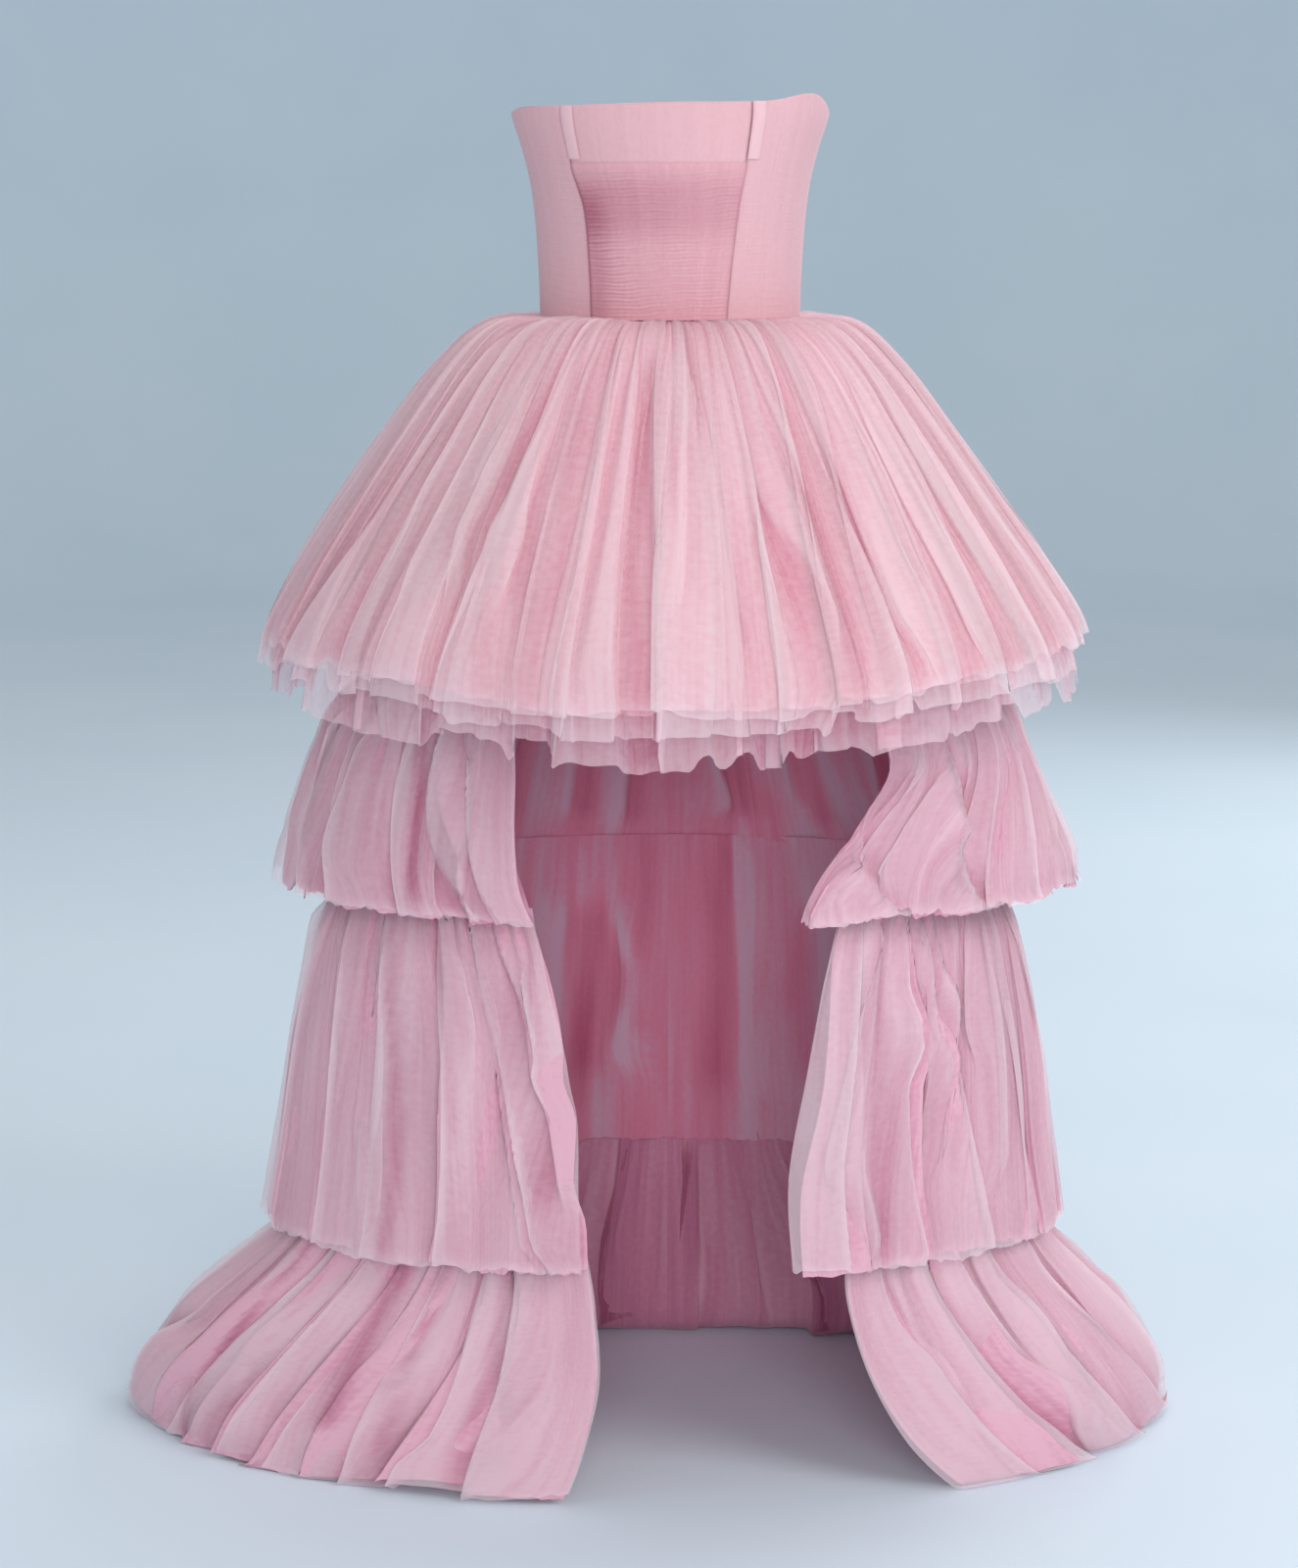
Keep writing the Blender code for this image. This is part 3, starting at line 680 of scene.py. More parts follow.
def grid_sheet(
    name: str, points: np.ndarray, cut: tuple[float, float], depth: np.ndarray
) -> bpy.types.Object:
    """Shape a grid of cloth.

    Args:
        name: the new piece's name.
        points: rows of points from the seam down, each from left to right.
        cut: width and length of the flat cut in metres, for the UV map.
        depth: how deep in colour each point is, from 0 to 1, with the painted shade of its folds, pleats
            and seams.

    Returns:
        The sheet, with its object at the origin.
    """
    rows, columns = points.shape[:2]
    bpy.ops.object.select_all(action="DESELECT")
    bpy.ops.mesh.primitive_grid_add(x_subdivisions=columns - 1, y_subdivisions=rows - 1, size=2)
    sheet = bpy.context.active_object
    sheet.name = sheet.data.name = name
    mesh = sheet.data
    mesh.vertices.foreach_set("co", points[::-1].reshape(-1).astype(np.float32))
    corners = np.empty(len(mesh.loops), dtype=np.int32)
    mesh.loops.foreach_get("vertex_index", corners)
    while mesh.uv_layers:
        mesh.uv_layers.remove(mesh.uv_layers[0])
    across, up = np.meshgrid(np.linspace(0, cut[0], columns), np.linspace(0, cut[1], rows))
    flat = np.stack((across, up), -1).reshape(-1, 2)
    mesh.uv_layers.new(name=CLOTH_UV).data.foreach_set("uv", flat[corners].reshape(-1).astype(np.float32))
    tint = mesh.attributes.new(PAINTED_SHADE_AND_DENSITY, "FLOAT", "POINT")
    tint.data.foreach_set("value", np.clip(depth[::-1], 0, 1).reshape(-1).astype(np.float32))
    mesh.update()
    bpy.ops.object.shade_smooth()
    return sheet


def finish_piece(
    piece: bpy.types.Object, finish: Tulle | Plain, nodes: Sequence[str] = ()
) -> None:
    """Give a piece its material and its body, and hide the solids it stands for.

    Args:
        piece: the finished mesh.
        finish: its finish.
        nodes: the solids it replaces.
    """
    piece.data.materials.clear()
    piece.data.materials.append(material(finish))
    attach(piece, GOWN)
    if nodes:
        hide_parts(*nodes)
    log.info("%s: %d faces", piece.name, len(piece.data.polygons))


@dataclass(frozen=True)
class Tint:
    """A long streak where the cloth is deeper or paler in colour, with soft ends. It stands for denser and
    thinner cloth, and also carries painted shade and painted light.

    across is its place on the tier's form, top and foot are shares down the cloth between which it shows,
    and amount is how much deeper its colour is.
    """

    across: float
    half_width: float
    top: float
    foot: float
    amount: float

    WANDER = 0.004  # how far it swings beside its line, as a share across
    END = 0.08  # share down the cloth over which it fades in or out

    def read(self, across: np.ndarray, down: np.ndarray) -> np.ndarray:
        """How much deeper it makes the cloth.

        Args:
            across: shares across the form.
            down: shares down the cloth.

        Returns:
            What it adds to the colour's depth.
        """
        beside = bump((across - self.across + self.WANDER * np.sin(down * 7)) / self.half_width)
        ends = ease((down - self.top) / self.END) * ease((self.foot - down) / self.END)
        return self.amount * beside * ends


def swings(across: np.ndarray, rates: Sequence[float], random: np.random.Generator) -> np.ndarray:
    """Uneven swings along a hem.

    Args:
        across: shares across.
        rates: how fast each wave swings.
        random: gives the waves' phases.

    Returns:
        The mean of the waves, from -1 to 1.
    """
    phases = random.uniform(0, 6.28, len(rates))
    return sum(np.sin(across * rate + phase) for rate, phase in zip(rates, phases)) / len(rates)


@dataclass(frozen=True)
class Ply:
    """One ply of a tier."""

    name: str
    finish: Tulle
    seed: int
    columns: int
    rows: int
    out: float  # how far outside the form it lies, away from its seam
    cut: tuple[float, float]  # width and length of its flat cut in metres
    nodes: tuple[str, ...] = ()
    hem: float = 0.0  # how far its hem ends past the tier's hem line, in metres
    ragged: float = 0.0  # height of the steps of its raw hem, in metres
    scale: float = 1.0  # of its folds
    scallop: float = 0.006  # how far its hem swings, in metres
    inset: float = 0.0  # how far its front edge lies behind the tier's own, as a share across
    tints: tuple[Tint, ...] = ()

    FRAY = 0.0022  # metres. Half the height of the loose ends between the steps

    def raw_hem(self, across: np.ndarray, steps: int) -> np.ndarray:
        """Uneven steps of the raw cut hem.

        Args:
            across: shares across.
            steps: how many steps the whole hem has.

        Returns:
            How far each place ends above the longest, in metres, as negative numbers.
        """
        random = np.random.default_rng(self.seed)
        edges = np.sort(random.uniform(0, 1, steps))
        heights = random.uniform(0, 1, steps + 1) ** 1.6
        stepped = heights[np.searchsorted(edges, across)]
        kernel = np.hanning(5)
        stepped = np.convolve(np.pad(stepped, 2, mode="edge"), kernel / kernel.sum(), mode="valid")
        fray = swings(across, (310, 523, 877), random)
        swing = swings(across, (29, 53, 97), random)
        return -self.ragged * stepped - self.FRAY * (1 + fray) - self.scallop * (1 + swing) / 2


@dataclass(frozen=True)
class Tier:
    """A tier of several plies on one form."""

    form: Form
    creases: Sequence[Crease]  # all its plies share them
    gathers: Sequence[Gathers]
    rests_on: tuple[str, ...]  # what it is sewn to or lies on
    slot: str = "tier_tulle"
    hem_line: Callable[[np.ndarray], np.ndarray] | None = None  # its level by share across
    lifts: Sequence[tuple[float, float, float]] = ()  # place, half width and height of tucks in the hem

    HEM_STEPS = {Span.ROUND: 130, Span.LEFT: 60, Span.RIGHT: 60}  # of a whole raw hem
    CROWDING = 1.12  # over 1, its rows lie closer near the seam
    PARTING = 0.22  # share down over which the plies part; at the seam they lie a tenth as far apart
    BASE_SHADE = 0.34  # depth of the colour where the cloth lies on its form
    SHADE_DEPTH = 0.024  # how deep a groove is when its painted shade is a whole step deeper; raised cloth gets painted highlight by the same rule
    EDGE_PALER = 0.30  # how much paler a raw edge is
    HEM_EDGE = (0.975, 0.020)  # share down where the paler hem starts, and how softly
    FRONT_EDGE = (0.993, 0.004)  # the same across, at the front edges
    SEAM_ROOM = 0.0012  # how far a fold may go in at the seam, in metres
    ROOM_GROWTH = 0.060  # how fast that grows down the cloth
    FLOOR_GAP = 0.0004  # how far over the floor its innermost ply lies
    FLOOR_STEP = 0.0008  # how far apart the plies lie on the floor

    def reach(self, ply: Ply, line: np.ndarray, levels: np.ndarray, lengths: np.ndarray) -> np.ndarray:
        """How far down one ply reaches.

        Args:
            ply: the ply.
            line: shares across.
            levels: the form's levels.
            lengths: how far down the cloth they lie, for each share across.

        Returns:
            Metres from the seam to its hem, for each share across.
        """
        hems = self.hem_line(line) if self.hem_line else np.full_like(line, self.form.last)
        whole = np.array([np.interp(hem, levels, down) for hem, down in zip(hems, lengths)])
        for place, half_width, rise in self.lifts:
            whole = whole - rise * bump((line - place) / half_width)
        whole = whole + ply.hem + ply.raw_hem(line, self.HEM_STEPS[self.form.span])
        return np.minimum(whole, lengths[:, -1])

    def shape(self, ply: Ply) -> tuple[np.ndarray, np.ndarray]:
        """Lay one ply on the form.

        Args:
            ply: the ply.

        Returns:
            Its points, and how deep in colour each is, with the painted shade and highlight of its folds.
        """
        line = np.linspace(0, 1, ply.columns)
        levels, lengths = self.form.slant(line)
        whole = self.reach(ply, line, levels, lengths)
        share = np.linspace(0, 1, ply.rows) ** self.CROWDING
        level = np.stack([np.interp(share * hem, down, levels) for hem, down in zip(whole, lengths)], -1)
        across = np.broadcast_to(line, level.shape)
        if self.form.span is Span.LEFT:
            across = across * (1 - ply.inset)
        if self.form.span is Span.RIGHT:
            across = ply.inset + across * (1 - ply.inset)
        down = level / self.form.last
        folds = Folds(self.creases, self.gathers, ply.seed, self.form.span)
        shift, lift, edge = (part * ply.scale for part in folds.read(across, down))
        room = self.SEAM_ROOM + self.ROOM_GROWTH * down
        lift = np.clip(lift, -room, None if ply.ragged else room)
        lean = np.clip(across + shift, 0.0, 1.0)
        out = ply.out * (0.1 + ease(down / self.PARTING))
        points = self.form.place(lean, level)
        points = points + self.form.outward(lean, level) * (lift + out)[..., None]
        ground = FLOOR + self.FLOOR_GAP + self.FLOOR_STEP * (1 + np.sign(ply.out))
        points[..., 2] = np.maximum(points[..., 2], ground)
        # Painted shade in the grooves and painted highlight on raised cloth, with the denser plies in the
        # folds.
        depth = self.BASE_SHADE - lift / self.SHADE_DEPTH + edge
        if ply.ragged:
            start, fade = self.HEM_EDGE
            depth = depth - self.EDGE_PALER * ease((share[:, None] - start) / fade)
        if self.form.span is not Span.ROUND:
            start, fade = self.FRONT_EDGE
            to_front = across if self.form.span is Span.LEFT else 1 - across
            depth = depth - self.EDGE_PALER * ease((to_front - start) / fade)
        return points, depth + sum(tint.read(lean, down) for tint in ply.tints)

    def build(self, *plies: Ply) -> None:
        """Make and finish plies.

        Args:
            *plies: the plies, from the outermost to the innermost.
        """
        for ply in plies:
            points, depth = self.shape(ply)
            sheet = grid_sheet(ply.name, points, ply.cut, depth)
            finish_piece(sheet, ply.finish, ply.nodes)


# ---------------------------------------------------------------- the skirt

# Rows of a form: height, left, right, front, back, left edge, right edge and set back.
DOME_RINGS = (
    (-0.0015, 0.1238, 0.1238, 0.0918, 0.0878, 0, 0, 0),
    (-0.0075, 0.1740, 0.1740, 0.1390, 0.1400, 0, 0, 0),
    (-0.0480, 0.2190, 0.2200, 0.1860, 0.1920, 0, 0, 0),
    (-0.1100, 0.2650, 0.2660, 0.2360, 0.2450, 0, 0, 0),
    (-0.1800, 0.3140, 0.3150, 0.2860, 0.2980, 0, 0, 0),
    (-0.2450, 0.3580, 0.3620, 0.3240, 0.3420, 0, 0, 0),
    (-0.3050, 0.3900, 0.3970, 0.3500, 0.3740, 0, 0, 0),
    (-0.3850, 0.4020, 0.4100, 0.3640, 0.3900, 0, 0, 0),
)
YOKE_RINGS = (
    (-0.0006, 0.1220, 0.1220, 0.0900, 0.0860, 0, 0, 0),
    (-0.0100, 0.1226, 0.1226, 0.0908, 0.0866, 0, 0, 0),
    (-0.0400, 0.1380, 0.1380, 0.1030, 0.0980, 0, 0, 0),
    (-0.0900, 0.1650, 0.1650, 0.1230, 0.1180, 0, 0, 0),
    (-0.1600, 0.1980, 0.1980, 0.1430, 0.1400, 0, 0, 0),
    (-0.3300, 0.2600, 0.2600, 0.1780, 0.1780, 0, 0, 0),
)
BASE_2_RINGS = (
    (-0.3210, 0.2560, 0.2560, 0.1745, 0.1745, 0.128, 0.168, 0),
    (-0.4400, 0.2950, 0.2950, 0.1880, 0.1780, 0.157, 0.202, 0),
    (-0.5450, 0.3230, 0.3200, 0.1940, 0.1800, 0.128, 0.155, 0),
)
BASE_3_RINGS = (
    (-0.5360, 0.3195, 0.3165, 0.1915, 0.1775, 0.128, 0.157, 0),
    (-0.6500, 0.3340, 0.3310, 0.1900, 0.2010, 0.112, 0.152, 0),
    (-0.7600, 0.3460, 0.3440, 0.1860, 0.2230, 0.102, 0.150, 0),
    (-0.8860, 0.3550, 0.3550, 0.1800, 0.2415, 0.086, 0.168, 0),
)
TIER_2_RINGS = (
    (-0.3309, 0.2618, 0.2618, 0.1798, 0.1798, 0.130, 0.170, 0),
    (-0.3640, 0.3160, 0.3200, 0.2020, 0.2180, 0.141, 0.190, 0),
    (-0.4110, 0.3400, 0.3420, 0.2120, 0.2380, 0.142, 0.197, 0),
    (-0.4640, 0.3580, 0.3640, 0.2190, 0.2560, 0.142, 0.160, 0),
    (-0.5120, 0.3720, 0.3860, 0.2230, 0.2700, 0.138, 0.126, 0),
    (-0.5500, 0.3800, 0.4010, 0.2240, 0.2780, 0.122, 0.116, 0),
)
TIER_3_RINGS = (
    (-0.5459, 0.3248, 0.3218, 0.1958, 0.1818, 0.128, 0.155, 0),
    (-0.6000, 0.3430, 0.3370, 0.2060, 0.2120, 0.110, 0.141, 0),
    (-0.6900, 0.3630, 0.3580, 0.2080, 0.2480, 0.088, 0.124, 0),
    (-0.7900, 0.3800, 0.3740, 0.2080, 0.2820, 0.078, 0.108, 0),
    (-0.8900, 0.3970, 0.3890, 0.2080, 0.3160, 0.075, 0.114, 0),
)
TIER_4_RINGS = (
    (-0.8716, 0.3580, 0.3580, 0.1840, 0.2450, 0.078, 0.166, 0.000),
    (-0.9200, 0.4020, 0.3900, 0.2020, 0.2350, 0.070, 0.167, 0.016),
    (-0.9900, 0.4780, 0.4500, 0.2370, 0.2110, 0.066, 0.187, 0.046),
    (-1.0550, 0.5260, 0.4900, 0.2740, 0.1860, 0.080, 0.221, 0.076),
    (-1.1000, 0.5380, 0.5040, 0.3030, 0.1780, 0.096, 0.260, 0.098),
    (FLOOR, 0.5440, 0.5120, 0.3180, 0.2260, 0.104, 0.280, 0.112),
    (FLOOR, 0.5480, 0.5180, 0.3260, 0.3840, 0.108, 0.286, 0.116),
)

DEGREE = 1 / 360


def by_turn(turn: float) -> float:
    """Share across a round piece at a turn in degrees from the front."""
    return (turn + 180) / 360


# The dome's creases that the photo shows, as a Crease has them, with start, end and width in degrees.
DOME_CREASES = (
    (-75, -79, 0.10, 1.1, 2.2, 0.007, 1.2),
    (-66, -65, 0.05, 1.1, 2.0, 0.008, 1.3),
    (-53, -59, 0.25, 1.1, 2.6, 0.011, 1.3),
    (-46, -46, 0.00, 1.1, 1.8, 0.009, 1.4),
    (-40, -41, 0.12, 0.9, 1.4, 0.004, 1.0),
    (-34, -34, 0.02, 0.56, 1.7, 0.010, 1.5),
    (-25, -30.5, 0.10, 1.1, 2.0, 0.009, 1.3),
    (-20, -22, 0.30, 1.1, 1.5, 0.004, 0.8),
    (-14, -15, 0.20, 1.1, 2.4, 0.006, 0.9),
    (-9, -10, 0.02, 0.80, 1.0, 0.004, 0.9),
    (-3, -2, 0.28, 0.95, 2.2, 0.012, 1.2),
    (3, 4, 0.03, 0.32, 1.2, 0.008, -1.3),
    (8.5, 9, 0.20, 1.1, 1.3, 0.004, -1.0),
    (13, 15, 0.05, 1.0, 1.6, 0.005, -0.8),
    (24, 20, 0.05, 0.85, 2.0, 0.007, -1.2),
    (33, 29, 0.15, 0.95, 1.7, 0.006, -1.1),
    (40, 38, 0.25, 1.1, 2.2, 0.004, -0.8),
    (48, 47, 0.10, 1.1, 2.2, 0.006, -0.9),
    (57, 59, 0.20, 1.1, 2.4, 0.006, -0.9),
    (68, 70, 0.05, 1.1, 2.2, 0.006, -1.1),
)


def dome_hem(across: np.ndarray) -> np.ndarray:
    """Level of the domed tier's hem line: lower at the front and back than at the sides."""
    turn = across * 2 * math.pi - math.pi
    return 6.05 + 0.40 * np.abs(np.cos(turn)) ** 4


def build_dome() -> None:
    """Make the domed top tier: three sheer plies with stepped raw hems, and a dense one inside."""
    shown = [
        Crease(by_turn(start), by_turn(end), top, foot, width * DEGREE, depth, lip)
        for start, end, top, foot, width, depth, lip in DOME_CREASES
    ]
    hidden = seeded_creases(11, 0.0, by_turn(-80), 7.0 * DEGREE, 0.008, lean=0.2)
    hidden += seeded_creases(12, by_turn(76), 1.0, 7.0 * DEGREE, 0.008, lean=-0.2)
    fine = seeded_creases(13, 0.0, 1.0, 2.5 * DEGREE, 0.0034, (1.4, 2.8), 0.1, (0.0, 0.6), (0.55, 1.2))
    gathers = (
        Gathers(118, 0.0020, -0.1, 0.30, 0.8),
        Gathers(67, 0.0013, 0.05, 0.80, 0.9),
        Gathers(41, 0.0011, 0.35, 1.4, 0.9),
    )
    tier = Tier(Form(DOME_RINGS), shown + hidden + fine, gathers, ("skirt_yoke",), hem_line=dome_hem)
    tier.build(
        Ply("tier_1_ply_a", SHEER, 101, 1240, 44, 0.004, (2.6, 0.49), ("tier_1_outer",), ragged=0.010),
        Ply("tier_1_ply_b", SHEER, 102, 1040, 40, 0.000, (2.6, 0.51), ("tier_1_under",), 0.018, 0.016),
        Ply("tier_1_ply_c", SHEER_UNDER, 103, 940, 38, -0.011, (2.5, 0.53), hem=0.046, ragged=0.030),
        Ply("tier_1_ply_d", DENSE, 104, 420, 24, -0.006, (1.9, 0.49), (), -0.006, 0.006, scale=0.55),
    )


SIDES = (("left", Span.LEFT), ("right", Span.RIGHT))

# Rows of a Crease: the folds of tiers 2 to 4 that the photo shows.
TIER_2_LEFT = (
    (0.800, 0.790, 0.0, 1.1, 0.014, 0.008, 2.0),
    (0.868, 0.866, 0.0, 1.1, 0.010, 0.010, 1.8),
    (0.905, 0.955, 0.0, 1.1, 0.009, 0.010, 2.0),
    (0.932, 0.980, 0.05, 1.1, 0.006, 0.006, 1.4),
)
TIER_2_RIGHT = (
    (0.060, 0.190, 0.15, 1.1, 0.010, 0.007, -1.8),
    (0.030, 0.012, 0.45, 0.95, 0.010, 0.004, 1.0),
    (0.020, 0.100, 0.62, 0.98, 0.008, 0.004, -1.2),
    (0.230, 0.270, 0.05, 1.1, 0.014, 0.006, -2.0),
)
TIER_3_LEFT = (
    (0.735, 0.730, 0.0, 1.1, 0.014, 0.007, 2.2),
    (0.825, 0.812, 0.0, 1.1, 0.012, 0.014, 3.4),
    (0.885, 0.872, 0.02, 0.95, 0.010, 0.010, 1.8),
    (0.925, 0.962, 0.02, 0.90, 0.008, 0.007, 2.6),
    (0.955, 0.980, 0.05, 0.75, 0.007, 0.005, 1.6),
)
TIER_3_RIGHT = (
    (0.022, 0.045, 0.0, 1.1, 0.012, 0.012, -3.0),
    (0.055, 0.078, 0.0, 0.9, 0.007, 0.007, -2.2),
    (0.085, 0.118, 0.0, 0.95, 0.009, 0.009, -2.6),
    (0.112, 0.150, 0.0, 0.5, 0.006, 0.005, -2.0),
    (0.130, 0.215, 0.02, 1.1, 0.009, 0.007, -2.2),
    (0.260, 0.300, 0.05, 1.1, 0.014, 0.006, -2.0),
)
TIER_4_LEFT = (
    (0.600, 0.600, 0.45, 1.10, 0.016, 0.034, 2.2),
    (0.560, 0.540, 0.00, 1.10, 0.018, 0.022, 3.0),
    (0.690, 0.690, 0.00, 1.10, 0.015, 0.027, 3.8),
    (0.746, 0.730, 0.00, 1.10, 0.013, 0.024, 3.5),
    (0.790, 0.765, 0.00, 1.10, 0.011, 0.022, 3.2),
    (0.835, 0.800, 0.00, 1.10, 0.012, 0.027, 2.8),
    (0.872, 0.868, 0.05, 1.10, 0.011, 0.019, 3.8),
    (0.915, 0.905, 0.00, 1.10, 0.010, 0.022, 3.2),
    (0.940, 0.968, 0.05, 1.10, 0.010, 0.016, 3.0),
)
TIER_4_RIGHT = (
    (0.030, 0.040, 0.05, 1.10, 0.010, 0.012, -3.0),
    (0.075, 0.110, 0.02, 1.10, 0.011, 0.019, -3.5),
    (0.115, 0.155, 0.00, 1.10, 0.013, 0.027, -3.2),
    (0.180, 0.215, 0.05, 1.10, 0.013, 0.019, -3.2),
    (0.255, 0.290, 0.00, 1.10, 0.015, 0.019, -3.0),
    (0.330, 0.370, 0.00, 1.10, 0.015, 0.019, -3.0),
)
# Where the cloth is deepest in colour between those of the left halves: painted shade in the grooves, with
# the denser cloth there.
TIER_2_GROOVE_SHADE = (Tint(0.888, 0.010, -0.1, 0.9, 0.55),)
TIER_3_GROOVE_SHADE = (Tint(0.812, 0.009, -0.2, 1.2, 0.42), Tint(0.878, 0.004, -0.1, 0.7, 0.30))
TIER_4_GROOVE_SHADE = (
    Tint(0.688, 0.007, -0.2, 0.75, 0.60),
    Tint(0.738, 0.005, -0.2, 0.60, 0.35),
    Tint(0.822, 0.012, -0.2, 0.55, 0.75),
    Tint(0.868, 0.005, -0.2, 0.60, 0.40),
    Tint(0.926, 0.006, -0.2, 0.90, 0.50),
)


@dataclass(frozen=True)
class OpenTier:
    """A tier that is open at the front, in a left and a right half."""

    number: int
    rings: tuple[tuple[float, ...], ...]
    left: tuple[tuple[float, ...], ...]  # creases of the left half, as rows
    right: tuple[tuple[float, ...], ...]
    gathers: tuple[Gathers, ...]
    spacing: float  # between the creases of its hidden sides, as a share across
    depth: float  # of those creases in metres
    rows: int
    columns: int
    cut: tuple[float, float]  # of each half's plies, before they are gathered
    groove_shade: tuple[Tint, ...]  # painted shade in the grooves of the left half
    scallop: float = 0.006
    lifts: tuple[tuple[float, float, float], ...] = ()  # of the left half
    lined: bool = False  # with a denser inner ply, where the inside shows

    LINING_WIDTH = 0.7  # of the other plies' width, as it is gathered less

    def build(self) -> None:
        """Make both halves."""
        for side, span in SIDES:
            left = span is Span.LEFT
            node = f"tier_{self.number}_{side}"
            seed = self.number * 1000 + (0 if left else 500)
            tier = Tier(
                Form(self.rings, span),
                self.creases(left, seed),
                self.gathers,
                (f"base_{min(self.number, 3)}_{side}",),
                lifts=self.lifts if left else (),
            )
            look = {"scallop": self.scallop, "tints": self.groove_shade if left else ()}
            size = self.columns, self.rows
            outer = {"nodes": (node,), "hem": -0.002, "ragged": 0.005, **look}
            tier.build(Ply(f"{node}_ply_a", TIER_SHEER, seed + 3, *size, 0.004, self.cut, **outer))
            size = self.columns - 50, self.rows - 3
            under = {"ragged": 0.010, "inset": 0.003, **look}
            tier.build(Ply(f"{node}_ply_b", TIER_UNDER, seed + 4, *size, 0.0, self.cut, **under))
            if self.lined:
                size = self.columns // 2, self.rows * 2 // 3
                cut = (self.cut[0] * self.LINING_WIDTH, self.cut[1])
                inner = {"hem": -0.018, "ragged": 0.004, "scale": 0.45, "inset": 0.022}
                inner["scallop"] = self.scallop
                tier.build(Ply(f"{node}_ply_c", TIER_DENSE, seed + 5, *size, -0.006, cut, **inner))

    def creases(self, left: bool, seed: int) -> list[Crease]:
        """All the creases of one half.

        Args:
            left: whether it is the left half.
            seed: the half's own.

        Returns:
            The ones that the photo shows, seeded ones for the hidden side, and fine ones all over.
        """
        shown = [Crease(*row) for row in (self.left if left else self.right)]
        starts = [crease.start for crease in shown]
        low, high = (0.02, min(starts) - self.spacing) if left else (max(starts) + self.spacing, 0.98)
        lean = 0.9 if left else -0.9
        hidden = seeded_creases(seed + 1, low, high, self.spacing, self.depth, (1.4, 2.4), lean)
        spacing, depth = self.spacing * 0.5, self.depth * 0.22
        fine = seeded_creases(seed + 2, 0.02, 0.98, spacing, depth, (1.2, 2.4), 0.0, (0, 0.5), (0.3, 1.1))
        return shown + hidden + fine


OPEN_TIERS = (
    OpenTier(
        2,
        TIER_2_RINGS,
        TIER_2_LEFT,
        TIER_2_RIGHT,
        (Gathers(52, 0.0020, -0.1, 0.5, 0.8), Gathers(21, 0.0010, 0.2, 1.4, 0.8)),
        spacing=0.075,
        depth=0.009,
        rows=26,
        columns=500,
        cut=(1.20, 0.25),
        groove_shade=TIER_2_GROOVE_SHADE,
    ),
    OpenTier(
        3,
        TIER_3_RINGS,
        TIER_3_LEFT,
        TIER_3_RIGHT,
        (Gathers(52, 0.0020, -0.1, 0.4, 0.8), Gathers(21, 0.0010, 0.15, 1.4, 0.8)),
        spacing=0.070,
        depth=0.010,
        rows=34,
        columns=500,
        cut=(1.40, 0.36),
        groove_shade=TIER_3_GROOVE_SHADE,
    ),
    OpenTier(
        4,
        TIER_4_RINGS,
        TIER_4_LEFT,
        TIER_4_RIGHT,
        (Gathers(46, 0.0018, -0.1, 0.3, 0.8), Gathers(19, 0.0010, 0.1, 1.4, 0.8)),
        spacing=0.070,
        depth=0.020,
        rows=40,
        columns=580,
        cut=(1.55, 0.40),
        groove_shade=TIER_4_GROOVE_SHADE,
        scallop=0.018,
        lifts=((0.592, 0.014, 0.060),),
        lined=True,
    ),
)

# Streaks of the base panels' inside, as the photo shows them through the front opening.
LEFT_STREAKS = (
    Tint(0.070, 0.010, -0.2, 1.3, -0.20),
    Tint(0.105, 0.006, 0.0, 0.8, -0.14),
    Tint(0.030, 0.014, -0.2, 0.7, 0.22),
    Tint(0.170, 0.030, -0.2, 1.3, -0.12),
)
RIGHT_STREAKS = (
    Tint(0.905, 0.007, 0.0, 1.3, -0.22),
    Tint(0.888, 0.004, 0.1, 0.9, -0.16),
    Tint(0.855, 0.016, -0.2, 0.6, 0.10),
    Tint(0.965, 0.020, -0.2, 1.3, 0.06),
    # The broad paler streak here is painted light on the inside's right, which the right half's tier
    # shades.
    Tint(0.820, 0.060, -0.2, 1.3, -0.24),
)
# Painted shade: the inside is deeper in colour all over towards the waist, under the domed tier.
YOKE_SHADE = Tint(0.5, 2.0, 0.1, 1.3, 0.35)
BASE_2_SHADE = Tint(0.5, 2.0, -0.3, 0.45, 0.30)
BASE_OUT = 0.0006  # how far outside its form a base cloth lies


def build_base() -> None:
    """Make the yoke and the base panels. They carry the tiers, and show inside through the opening."""
    creases = seeded_creases(21, 0.0, 1.0, 12 * DEGREE, 0.002)
    gathers = (Gathers(40, 0.0008, 0.2, 1.4, 0.3),)
    yoke = Tier(Form(YOKE_RINGS), creases, gathers, ("bodice_centre_front",), "base_cloth")
    look = BASE_ROSE, 22, 220, 20, BASE_OUT
    yoke.build(Ply("skirt_yoke_cloth", *look, (1.36, 0.36), ("skirt_yoke",), tints=(YOKE_SHADE,)))
    for number, rings, cut in ((2, BASE_2_RINGS, (0.80, 0.22)), (3, BASE_3_RINGS, (0.90, 0.34))):
        for side, span in SIDES:
            node = f"base_{number}_{side}"
            seed = 30 + number * 4 + (span is Span.RIGHT)
            creases = seeded_creases(
                seed, 0.03, 0.97, 0.075, 0.006, (0.2, 0.5), 0.0, (0.15, 0.3), (0.70, 0.84)
            )
            gathers = (Gathers(30, 0.0008, 0.0, 1.4, 0.4),)
            tier = Tier(Form(rings, span), creases, gathers, ("skirt_yoke",), "base_cloth")
            streaks = LEFT_STREAKS if span is Span.LEFT else RIGHT_STREAKS
            if number == 2:
                streaks = (*streaks, BASE_2_SHADE)
            look = BASE_ROSE, seed + 40, 220, 30, BASE_OUT
            tier.build(Ply(f"{node}_cloth", *look, cut, (node,), tints=streaks))


